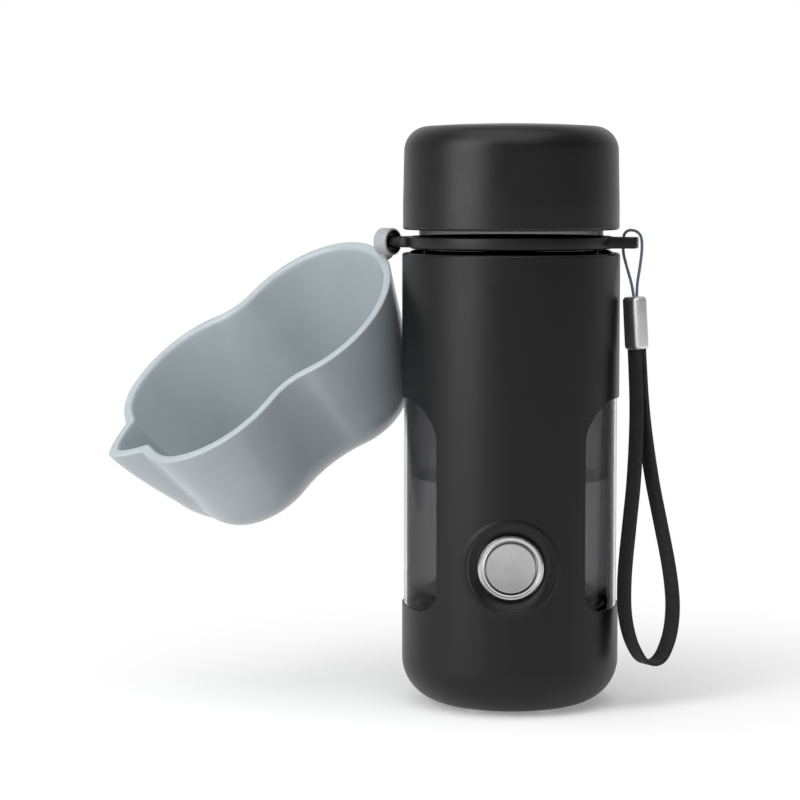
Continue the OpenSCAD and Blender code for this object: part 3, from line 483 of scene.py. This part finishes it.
crimpMetal = drawnMetal("crimpMetal", (0.80, 0.80, 0.805), 0.46, (1, 1, 0.1), 0.2, 0.001)
bowlGrey = moulded("bowlGrey", (0.395, 0.442, 0.468), 0.42, grain=0.5, grainDepth=0.003, vary=0.04,
    Coat_Weight=0.5, Coat_Roughness=0.07, Subsurface_Weight=0.3, Subsurface_Scale=0.006,
    Subsurface_Radius=(1.0, 1.0, 1.0))
loopGrey = moulded("loopGrey", (0.36, 0.385, 0.40), 0.42, grain=0.5, grainDepth=0.004, vary=0.05)

nodeFinish = {
    "case": caseBlack, "window_pane_left": smokyPane, "window_pane_right": smokyPane,
    "vessel": smokyVessel, "vessel_seal": rubberBlack, "light_lens": frostedClear,
    "base_cover": caseBlack, "foot_pad": rubberBlack, "cover_screws": steel,
    "chassis": innerGrey, "battery_holder": innerBlack, "battery_cells": cellSteel,
    "battery_contacts": contactMetal, "led_board": boardGreen, "led_lamp": frostedClear,
    "switch_board": boardGreen, "tact_switch": innerBlack, "switch_ribbon": ribbonAmber,
    "button_housing": bezelMetal, "button_nut": steel, "button_seal": rubberBlack,
    "button_cap": buttonMetal, "button_spring": steel, "button_clip": steel,
    "cap_shell": capBlack, "cap_liner": innerBlack, "cap_gasket": gasketWhite,
}
for nodeName, finish in nodeFinish.items():
    obj = cadNodes[nodeName]
    obj.data.materials.clear()
    obj.data.materials.append(finish)
print("solids finished:", len(nodeFinish))


# ---- lanyard

ringTurn = math.radians(-9)
lanyard = {
    "cordWidth": 1.0,
    "cordRoute": [(42.45, -1.2, 138.5), (42.45, -1.2, 141.4), (41.6, -0.9, 145.8),
        (39.9, -0.4, 151.5), (38.85, 0, 155.5), (38.7, 0, 158.5), (38.75, 0, 161),
        (39.35, 0, 162.7), (40.5, 0, 163.5), (41.9, 0, 163.6), (43.5, 0, 163), (44.7, 0, 161.5),
        (45.1, 0, 159), (45, -0.2, 155.5), (44.4, -0.5, 150.5), (43.75, -0.9, 145.8),
        (43.55, -1.2, 141.4), (43.55, -1.2, 138.5)],
    "cordLength": 0.0515,
    "frame": (43, -8.3, 122.9),         # middle of the crimp's lower face
    "hang": (-1.2, -3, 27),             # its lean along X and Y, and its turn
    "strapWidth": 8.5,
    "strapThick": 1.25,
    "strapHalf": [(0.8, -4), (0.8, 0), (0.85, 8), (1.0, 16.4), (1.4, 24), (2.1, 32),
        (3.0, 40), (4.1, 48), (5.4, 55.5), (6.7, 63), (7.9, 70), (8.9, 77), (9.5, 84),
        (9.5, 89.5), (8.9, 94.5), (7.8, 99), (6.1, 103), (4.2, 106), (2.2, 107.6), (0, 108.1)],
    "strapLength": 0.227,
}


def braid():
    # round braid: two sets of strands that cross at a slant
    mat, tree, shader = newSurface("cordBraid", {"Roughness": 0.6, "Sheen Weight": 0.25})
    uv = addNode(tree, "ShaderNodeUVMap", uv_map="UVMap")
    split = addNode(tree, "ShaderNodeSeparateXYZ")
    tree.links.new(uv.outputs[0], split.inputs[0])
    strands = []
    for slant in (1, -1):
        across = addNode(tree, "ShaderNodeMath", {1: slant * 2 * math.tau / math.pi},
            operation="MULTIPLY")
        along = addNode(tree, "ShaderNodeMath", {1: math.tau / 0.9}, operation="MULTIPLY")
        both = addNode(tree, "ShaderNodeMath", operation="ADD")
        wave = addNode(tree, "ShaderNodeMath", operation="SINE")
        tree.links.new(split.outputs["X"], across.inputs[0])
        tree.links.new(split.outputs["Y"], along.inputs[0])
        tree.links.new(across.outputs[0], both.inputs[0])
        tree.links.new(along.outputs[0], both.inputs[1])
        tree.links.new(both.outputs[0], wave.inputs[0])
        strands.append(wave.outputs[0])
    top = addNode(tree, "ShaderNodeMath", operation="MAXIMUM")
    tree.links.new(strands[0], top.inputs[0])
    tree.links.new(strands[1], top.inputs[1])
    fuzz = addNoise(tree, objectCoords(tree), 0.12, 3)
    # the colour follows the strands' height, darker in the dips between them: painted shade
    tree.links.new(tint(tree, spread(tree, top.outputs[0], 0, 1, -0.3, 1), (0.055, 0.08, 0.105),
        (0.15, 0.20, 0.25)), shader.inputs["Base Color"])
    under = addNode(tree, "ShaderNodeBump", {"Distance": 0.03 * mm})
    tree.links.new(fuzz, under.inputs["Height"])
    emboss(tree, shader, top.outputs[0], 0.08, below=under)
    return mat


def webbing():
    # plain weave: ribs across the strap over cords along it
    mat, tree, shader = newSurface("strapWeave", {"Roughness": 0.72, "Sheen Weight": 0.08,
        "Sheen Roughness": 0.4, "Specular IOR Level": 0.35})
    uv = addNode(tree, "ShaderNodeUVMap", uv_map="UVMap")
    split = addNode(tree, "ShaderNodeSeparateXYZ")
    tree.links.new(uv.outputs[0], split.inputs[0])
    waves = []
    for socket, pitch in (("X", 0.62), ("Y", 0.55)):
        turns = addNode(tree, "ShaderNodeMath", {1: math.pi / pitch}, operation="MULTIPLY")
        wave = addNode(tree, "ShaderNodeMath", operation="SINE")
        tree.links.new(split.outputs[socket], turns.inputs[0])
        tree.links.new(turns.outputs[0], wave.inputs[0])
        waves.append(wave.outputs[0])
    cross = addNode(tree, "ShaderNodeMath", operation="MULTIPLY")
    tree.links.new(waves[0], cross.inputs[0])
    tree.links.new(waves[1], cross.inputs[1])
    height = addNode(tree, "ShaderNodeMath", operation="ABSOLUTE")
    tree.links.new(cross.outputs[0], height.inputs[0])
    fuzz = addNoise(tree, objectCoords(tree), 0.15, 3)
    shade = addNode(tree, "ShaderNodeMath", operation="MULTIPLY")
    tree.links.new(height.outputs[0], shade.inputs[0])
    tree.links.new(spread(tree, fuzz, 0.7, 1.2), shade.inputs[1])
    # the colour follows the weave's height, darker in the gaps between the threads: painted shade
    tree.links.new(tint(tree, shade.outputs[0], (0.008, 0.008, 0.0085), (0.026, 0.026, 0.027)),
        shader.inputs["Base Color"])
    under = addNode(tree, "ShaderNodeBump", {"Distance": 0.05 * mm})
    tree.links.new(fuzz, under.inputs["Height"])
    emboss(tree, shader, height.outputs[0], 0.14, below=under)
    return mat


def roundOutline(width, thick, corner, steps):
    w, t = width / 2 - corner, thick / 2 - corner
    corners = [((w, t), 0), ((-w, t), 90), ((-w, -t), 180), ((w, -t), 270)]
    return [(x * mm, y * mm) for centre, start in corners
        for x, y in arcPoints(centre, corner, start, start + 90, steps)]


def makeCord():
    turn = Matrix.Rotation(ringTurn, 3, "Z")
    curve = smoothRoute([turn @ (Vector(p) * mm) for p in lanyard["cordRoute"]], 6)
    side = turn @ Vector((0, 1, 0))
    half = lanyard["cordWidth"] / 2 * mm
    outline = [(half * math.cos(a), half * math.sin(a)) for a in
        (math.tau * i / 14 for i in range(14))]
    cord = finishMesh(sweep(outline, framesAlong(curve, side)), "lanyardCord", "lanyard", braid(),
        sharp=0)
    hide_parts("lanyard_cord")


def hangFrame():
    lean, tip, turn = (math.radians(a) for a in lanyard["hang"])
    return (Matrix.Translation(Vector(lanyard["frame"]) * mm) @ Euler((lean, tip, 0)).to_matrix()
        .to_4x4() @ Matrix.Rotation(turn, 4, "Z"))


def makeStrap(crimpPiece):
    hang = hangFrame()
    half = smoothRoute([(q * mm, 0, -d * mm) for q, d in lanyard["strapHalf"]], 5)
    curve = half + [Vector((-p.x, 0, p.z)) for p in reversed(half[:-1])]
    curve = [hang @ p for p in curve]
    across = (hang.to_3x3() @ Vector((0, 1, 0))).normalized()
    outline = roundOutline(lanyard["strapWidth"], lanyard["strapThick"], 0.5, 4)
    strap = finishMesh(sweep(outline, framesAlong(curve, across)), "wristStrap", "lanyard",
        webbing(), sharp=50)
    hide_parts("wrist_strap")


makeCord()
print("cord made")


# ---- crimp

crimp = {"thick": 5.6, "width": 9.5, "height": 18.2, "upright": 2.1, "ends": 1.5}


def makeCrimp():
    # a pressed metal sleeve with soft edges, and the seam where its sheet meets behind
    bm = bmesh.new()
    bmesh.ops.create_cube(bm, size=1)
    size = Vector((crimp["thick"], crimp["width"], crimp["height"])) * mm
    bmesh.ops.transform(bm, matrix=Matrix.Translation((0, 0, size.z / 2))
        @ Matrix.Diagonal((*size, 1)), verts=bm.verts)
    upright = [e for e in bm.edges if abs(e.verts[0].co.z - e.verts[1].co.z) > size.z / 2]
    bmesh.ops.bevel(bm, geom=upright, offset=crimp["upright"] * mm, segments=9, profile=0.5,
        affect="EDGES", material=-1, offset_type="OFFSET")
    rims = [e for e in bm.edges if abs(e.verts[0].co.z - e.verts[1].co.z) < 1e-6]
    bmesh.ops.bevel(bm, geom=rims, offset=crimp["ends"] * mm, segments=6, profile=0.5,
        affect="EDGES", material=-1, offset_type="OFFSET")
    bmesh.ops.recalc_face_normals(bm, faces=bm.faces)
    seam = bmesh.new()
    bmesh.ops.create_cube(seam, size=1)
    bmesh.ops.transform(seam, matrix=Matrix.Translation(Vector((crimp["thick"] / 2, 0,
        crimp["height"] / 2)) * mm) @ Matrix.Diagonal((0.5 * mm, 0.22 * mm, 30 * mm, 1)),
        verts=seam.verts)
    bm = cutAway(bm, seam)
    bmesh.ops.transform(bm, matrix=hangFrame(), verts=bm.verts)
    piece = finishMesh(bm, "cordCrimp", "lanyard", crimpMetal, sharp=38)
    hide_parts("lanyard_crimp")
    return piece


makeStrap(makeCrimp())
print("crimp and strap made")


# ---- bowl

bowl = {
    "spoutLobe": 37.0, "loopLobe": 34.5, "lobeGap": 42.0, "waist": 18.0, "squeeze": 0.95,
    "depth": 54.0, "draft": 8.5, "round": 20.0, "wall": 3.2, "shift": 4.6,
    "spoutReach": 10.5, "spoutThick": 1.4, "spoutAngle": 18.0, "spoutFade": 1.5,
    "blunt": 5.0, "endThick": 1.4, "bluntAngle": 50.0, "bluntFade": 0.65,
    "roll": 30, "pitch": 36, "turn": 6, "pivot": (79.7, 0, 3), "loopAt": 43.3, "tabHeight": 159.35,
}
bowlPivot = Matrix.Rotation(ringTurn, 4, "Z") @ Vector((-bowl["loopAt"] * mm, 0, bowl["tabHeight"] * mm))


def bowlFrame():
    turn = Euler([math.radians(a) for a in (bowl["roll"], -bowl["pitch"], bowl["turn"])])
    return (Matrix.Translation(bowlPivot) @ turn.to_matrix().to_4x4()
        @ Matrix.Translation(-Vector(bowl["pivot"]) * mm))


def bluntRadius(radius, away, by):
    fade = (1 + math.cos(math.pi * min(1, abs(away) / bowl["bluntAngle"]))) / 2
    return radius - by * radius / bowl["spoutLobe"] * fade


def spoutShape(away):
    x, soft = min(1, abs(away) / bowl["spoutAngle"]), 0.18
    return 1 - (math.hypot(x, soft) - soft) / (math.hypot(1, soft) - soft)


def bowlOutline(inset, depth, spout, extra=0):
    # one level: the loop's lobe, the waist, then the lobe with the spout, and back again
    ra, rb, rw = bowl["spoutLobe"] - inset, bowl["loopLobe"] - inset, bowl["waist"] + inset
    gap = bowl["lobeGap"]
    da, db = ra + rw, rb + rw
    wx = (da * da - db * db + gap * gap) / (2 * gap)
    wy = math.sqrt(da * da - wx * wx)
    ta, tb = math.degrees(math.atan2(wy, wx)), math.degrees(math.atan2(wy, wx - gap))
    by = (bowl["blunt"] + extra) * (1 - bowl["bluntFade"] * depth / bowl["depth"])
    half = []
    for i in range(20):
        a = math.radians(tb * (i + 0.5) / 20)
        half.append((gap + rb * math.cos(a), rb * math.sin(a)))
    for i in range(14):
        a = math.radians(180 + tb + (ta - tb) * (i + 0.5) / 14)
        half.append((wx + rw * math.cos(a), wy + rw * math.sin(a)))
    angles = [ta + (180 - bowl["spoutAngle"] - ta) * (i + 0.5) / 24 for i in range(24)]
    angles += [180 - bowl["spoutAngle"] * (11.5 - i) / 12 for i in range(12)]
    for a in angles:
        r = bluntRadius(ra, 180 - a, by) + (spout * spoutShape(180 - a)
            if 180 - a < bowl["spoutAngle"] else 0)
        half.append((r * math.cos(math.radians(a)), r * math.sin(math.radians(a))))
    shift = -bowl["shift"] * depth / bowl["depth"]
    both = half + [(x, -y) for x, y in reversed(half)]
    return [Vector(((x + shift) * mm, y * bowl["squeeze"] * mm, -depth * mm)) for x, y in both]


def bowlLevels():
    straight = bowl["depth"] - bowl["round"]
    inRound = bowl["round"] - bowl["wall"]
    spoutLow = bowl["depth"] * 0.97
    spoutIn = bowl["spoutReach"] + bowl["endThick"] - bowl["spoutThick"]

    def fade(z):
        return max(0, 1 - (z / spoutLow) ** bowl["spoutFade"]) if z < spoutLow else 0

    def wallLevel(z, wall, reach):
        return bowl["draft"] * min(1, z / straight) + wall, z, reach * fade(z)

    def floorLevel(a, radius, wall, reach):
        z = straight + radius * math.sin(math.radians(a))
        return bowl["draft"] + wall + radius * (1 - math.cos(math.radians(a))), z, reach * fade(z)

    steps = (0.025, 0.08, 0.16, 0.26, 0.38, 0.5, 0.62, 0.74, 0.86, 0.96)
    turns = (10, 22, 34, 46, 58, 70, 80, 90)
    outer = [(0.9, 0.05, bowl["spoutReach"]), (0.35, 0.25, bowl["spoutReach"]),
        (0.08, 0.65, bowl["spoutReach"])]
    outer += [wallLevel(straight * t, 0, bowl["spoutReach"]) for t in steps]
    outer += [floorLevel(a, bowl["round"], 0, bowl["spoutReach"]) for a in turns]
    inner = [(bowl["wall"] - 0.9, 0.05, spoutIn), (bowl["wall"] - 0.35, 0.25, spoutIn),
        (bowl["wall"] - 0.08, 0.65, spoutIn)]
    inner += [wallLevel(straight * t, bowl["wall"], spoutIn) for t in steps]
    inner += [floorLevel(a, inRound, bowl["wall"], spoutIn) for a in turns]
    return outer, [(*level, bowl["endThick"]) for level in inner]


def makeBowl():
    outer, inner = bowlLevels()
    top = bowlOutline(*outer[0])
    count = len(top)
    bm = bmesh.new()
    place = bm.verts.layers.int.new("place")
    start = bmesh.ops.create_circle(bm, segments=count, radius=1)["verts"]
    for i, v in enumerate(start):
        v[place] = i
        v.co = top[i]
    rim = list(bm.edges)

    def pull(edges, levels):
        for level in levels:
            points = bowlOutline(*level)
            grown = bmesh.ops.extrude_edge_only(bm, edges=edges)["geom"]
            fresh = {g for g in grown if isinstance(g, bmesh.types.BMVert)}
            for v in fresh:
                v.co = points[v[place]]
            edges = [g for g in grown if isinstance(g, bmesh.types.BMEdge)
                and g.verts[0] in fresh and g.verts[1] in fresh]
        bmesh.ops.contextual_create(bm, geom=edges)

    pull(rim, outer[1:])
    pull(rim, inner)
    bmesh.ops.recalc_face_normals(bm, faces=bm.faces)
    bmesh.ops.transform(bm, matrix=bowlFrame(), verts=bm.verts)
    piece = finishMesh(bm, "bowlShell", "bowl", bowlGrey, sharp=0, subdivide=1)
    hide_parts("bowl")


makeBowl()
print("bowl made")


# ---- dish

dish = {"floor": -33.05, "inner": 11.06, "mouthRadius": 15.48, "height": 51.3,
    "caseRadius": 37.5, "fill": 0.68, "curve": 1.45, "rings": 26}


def makeDish():
    # the hollow round the button leaves the round case without an edge, and falls to the bezel
    rings = dish["rings"]
    radii = [dish["inner"] + (dish["mouthRadius"] - dish["inner"]) * i / rings
        for i in range(rings + 1)]
    bm = lathe([(r, 0) for r in radii], 144)
    for v in bm.verts:
        x, up, r = v.co.x / mm, v.co.y / mm, math.hypot(v.co.x, v.co.y) / mm
        t = max(0, (dish["mouthRadius"] - r) / (dish["mouthRadius"] - dish["inner"]))
        sink = dish["fill"] * t ** dish["curve"]
        skin = -math.sqrt(dish["caseRadius"] ** 2 - x * x)
        v.co = Vector((x, skin + (dish["floor"] - skin) * sink - 0.004, up + dish["height"])) * mm
    bmesh.ops.recalc_face_normals(bm, faces=bm.faces)
    if sum(f.normal.y for f in bm.faces) > 0:
        bmesh.ops.reverse_faces(bm, faces=bm.faces)
    piece = finishMesh(bm, "buttonDish", "root", caseBlack, sharp=60)


makeDish()
print("dish made")


# ---- bowl loop

loop = {"outer": 4.75, "inner": 3.45, "length": 5.6, "edge": 0.7, "turn": -38, "lugWidth": 5.2,
    "bore": 3.95, "passage": 2.5}


def alongX(angle, place):
    # turns a lathed shape's axis from Z to a level direction, at a place in millimetres
    return (Matrix.Translation(Vector(place) * mm) @ Matrix.Rotation(math.radians(angle), 4, "Z")
        @ Matrix.Rotation(math.radians(90), 4, "Y"))


def makeLoop():
    out, inner, half, e = loop["outer"], loop["inner"], loop["length"] / 2, loop["edge"]
    thin = e * 0.5
    profile = (arcPoints((inner + thin, half - thin), thin, 180, 90, 3) + [(loop["bore"], half)]
        + arcPoints((out - e, half - e), e, 90, 0, 4)
        + arcPoints((out - e, -half + e), e, 0, -90, 4) + [(loop["bore"], -half)]
        + arcPoints((inner + thin, -half + thin), thin, -90, -180, 3))
    bm = lathe(profile, 72, closed=True)
    centre = tuple(c / mm for c in bowlPivot)
    stand = alongX(loop["turn"], centre)
    bmesh.ops.transform(bm, matrix=stand, verts=bm.verts)
    passage = bmesh.new()
    bmesh.ops.create_cone(passage, segments=48, radius1=loop["passage"] * mm,
        radius2=loop["passage"] * mm, depth=30 * mm, cap_ends=True)
    bmesh.ops.transform(passage, matrix=alongX(math.degrees(ringTurn), centre),
        verts=passage.verts)
    bm = cutAway(bm, passage)
    back = stand.inverted()
    # faces inside the bore take the second, black finish: painted shade that darkens the inside of the
    # hole
    for face in bm.faces:
        middle = back @ face.calc_center_median()
        face.material_index = 1 if math.hypot(middle.x, middle.y) < loop["bore"] * mm else 0
    lug = bmesh.new()
    bmesh.ops.create_cube(lug, size=1)
    end = bowl["lobeGap"] + bowl["loopLobe"]
    size = Vector((3.4, loop["lugWidth"], 3.6)) * mm
    bmesh.ops.transform(lug, matrix=bowlFrame() @ Matrix.Translation(
        Vector((end + 0.35, 0, -0.2)) * mm) @ Matrix.Diagonal((*size, 1)), verts=lug.verts)
    bmesh.ops.bevel(lug, geom=lug.edges[:], offset=0.9 * mm, segments=3, profile=0.5,
        affect="EDGES", material=-1, offset_type="OFFSET")
    lugMesh = bpy.data.meshes.new("lug")
    lug.to_mesh(lugMesh)
    lug.free()
    bm.from_mesh(lugMesh)
    piece = finishMesh(bm, "bowlHinge", "bowl", loopGrey, sharp=38)
    # the black second finish is the painted shade inside the bore
    piece.data.materials.append(ringBlack)
    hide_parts("bowl_loop")


makeLoop()
print("loop made")


# ---- neck ring

ring = {"outer": 35.0, "inner": 32.0, "low": 157.2, "high": 161.5, "edge": 0.75,
    "tabLow": 157.4, "tabHigh": 161.3, "tabWidth": 8.0, "tabEnd": 43.7, "tabCorner": 1.3,
    "tabFlare": 5.0, "hole": 1.6, "holeAt": 38.7, "armWidth": 5.6, "armEnd": 38.6,
    "armFlare": 4.0, "barWidth": 3.6, "barTall": 3.4, "barEnd": 42.2, "pin": 1.95, "pinEnd": 44.4, "head": 2.75, "headThick": 1.2}


def flaredBar(width, end, flare, corner):
    # a bar that runs out of the ring along +X and widens where it joins it
    r = ring["outer"]
    cy = width / 2 + flare
    cx = math.sqrt((r + flare) ** 2 - cy ** 2)
    root = math.degrees(math.atan2(cy, cx))
    inside = ring["inner"] + 0.8
    half = [(inside * math.cos(math.radians(root)), inside * math.sin(math.radians(root)))]
    half += arcPoints((cx, cy), flare, 180 + root, 270, 8)
    half += arcPoints((end - corner, width / 2 - corner), corner, 90, 0, 5)
    return half + [(x, -y) for x, y in reversed(half)]


def prism(outline, low, high, edge):
    bm = bmesh.new()
    verts = bmesh.ops.create_circle(bm, segments=len(outline), radius=1, cap_ends=True)["verts"]
    for v, (x, y) in zip(verts, outline):
        v.co = (x * mm, y * mm, low * mm)
    grown = bmesh.ops.extrude_face_region(bm, geom=bm.faces[:])["geom"]
    bmesh.ops.translate(bm, vec=(0, 0, (high - low) * mm),
        verts=[g for g in grown if isinstance(g, bmesh.types.BMVert)])
    bmesh.ops.recalc_face_normals(bm, faces=bm.faces)
    rims = [e for e in bm.edges if abs(e.verts[0].co.z - e.verts[1].co.z) < 1e-6]
    bmesh.ops.bevel(bm, geom=rims, offset=edge * mm, segments=3, profile=0.5, affect="EDGES",
        material=-1, offset_type="OFFSET")
    return bm


def addTo(bm, other, matrix=None):
    if matrix:
        bmesh.ops.transform(other, matrix=matrix, verts=other.verts)
    mesh = bpy.data.meshes.new("part")
    other.to_mesh(mesh)
    other.free()
    bm.from_mesh(mesh)
    bpy.data.meshes.remove(mesh)


def makeRing():
    out, inner, low, high, e = (ring[k] for k in ("outer", "inner", "low", "high", "edge"))
    profile = (arcPoints((out - e, high - e), e, 90, 0, 4) + arcPoints((out - e, low + e), e, 0,
        -90, 4) + arcPoints((inner + 0.4, low + 0.4), 0.4, -90, -180, 3)
        + arcPoints((inner + 0.4, high - 0.4), 0.4, 180, 90, 3))
    bm = lathe(profile, 192, closed=True)
    tab = prism(flaredBar(ring["tabWidth"], ring["tabEnd"], ring["tabFlare"], ring["tabCorner"]),
        ring["tabLow"], ring["tabHigh"], 0.5)
    hole = bmesh.new()
    bmesh.ops.create_cone(hole, segments=40, radius1=ring["hole"] * mm,
        radius2=ring["hole"] * mm, depth=12 * mm, cap_ends=True)
    bmesh.ops.translate(hole, vec=Vector((ring["holeAt"], 0, ring["tabLow"])) * mm,
        verts=hole.verts)
    addTo(bm, cutAway(tab, hole))
    arm = prism(flaredBar(ring["armWidth"], ring["armEnd"], ring["armFlare"], 1.2),
        ring["tabLow"], ring["tabHigh"], 0.8)
    addTo(bm, arm, Matrix.Rotation(math.pi, 4, "Z"))
    middle = (ring["tabLow"] + ring["tabHigh"]) / 2
    bar = prism([(36, -ring["barWidth"] / 2), (ring["barEnd"], -ring["barWidth"] / 2),
        (ring["barEnd"], ring["barWidth"] / 2), (36, ring["barWidth"] / 2)],
        middle - ring["barTall"] / 2, middle + ring["barTall"] / 2, 0.7)
    addTo(bm, bar, Matrix.Rotation(math.pi, 4, "Z"))
    p, head, thick, end = ring["pin"], ring["head"], ring["headThick"], ring["pinEnd"]
    pin = lathe([(0, 36), (p, 36), (p, end - thick), (head - 0.3, end - thick),
        (head, end - thick + 0.3), (head, end - 0.4), (head - 0.4, end), (0, end)], 48)
    addTo(bm, pin, Matrix.Translation((0, 0, middle * mm))
        @ Matrix.Rotation(math.radians(-90), 4, "Y"))
    bmesh.ops.transform(bm, matrix=Matrix.Rotation(ringTurn, 4, "Z"), verts=bm.verts)
    piece = finishMesh(bm, "neckRing", "ring", ringBlack, sharp=38)
    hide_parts("neck_ring")


makeRing()
print("ring made")


# ---- water

# its sides lie 0.3 mm inside the wall, so that no film of air shows between them
water = {"level": 78.7, "floor": 38.7, "radius": 33.5, "corner": 4.0,
    "pocketHalf": 18.7, "pocketBack": -16.2, "pocketTop": 70.2}


def makeWater():
    # fills the vessel to its level, round the pocket behind the button
    r, low, top = water["radius"], water["floor"], water["level"]
    profile = [(0, low)] + arcPoints((r - water["corner"], low + water["corner"]), water["corner"],
        -90, 0, 8) + [(r, top), (r - 0.5, top - 0.35), (r - 1.6, top - 0.6), (0, top - 0.6)]
    cutter = bmesh.new()
    bmesh.ops.create_cube(cutter, size=1)
    size = Vector((2 * water["pocketHalf"], 40, water["pocketTop"] - 30)) * mm
    middle = Vector((0, water["pocketBack"] - 20, (water["pocketTop"] + 30) / 2)) * mm
    bmesh.ops.transform(cutter, matrix=Matrix.Translation(middle) @ Matrix.Diagonal((*size, 1)),
        verts=cutter.verts)
    bm = cutAway(lathe(profile, 160), cutter)
    print("water corners:", len(bm.verts))
    bm.normal_update()
    # the faces on top of the water take the dark tint, painted shade for the waterline
    for face in bm.faces:
        high = face.calc_center_median().z > (water["level"] - 1) * mm
        face.material_index = 1 if high and face.normal.z > 0.5 else 0
    # the water's finish has a faint painted glow, and its top face takes the dark tint of painted shade
    piece = finishMesh(bm, "water", "root", glowingWater, sharp=40)
    piece.data.materials.append(waterlineShade)


makeWater()
print("water poured")
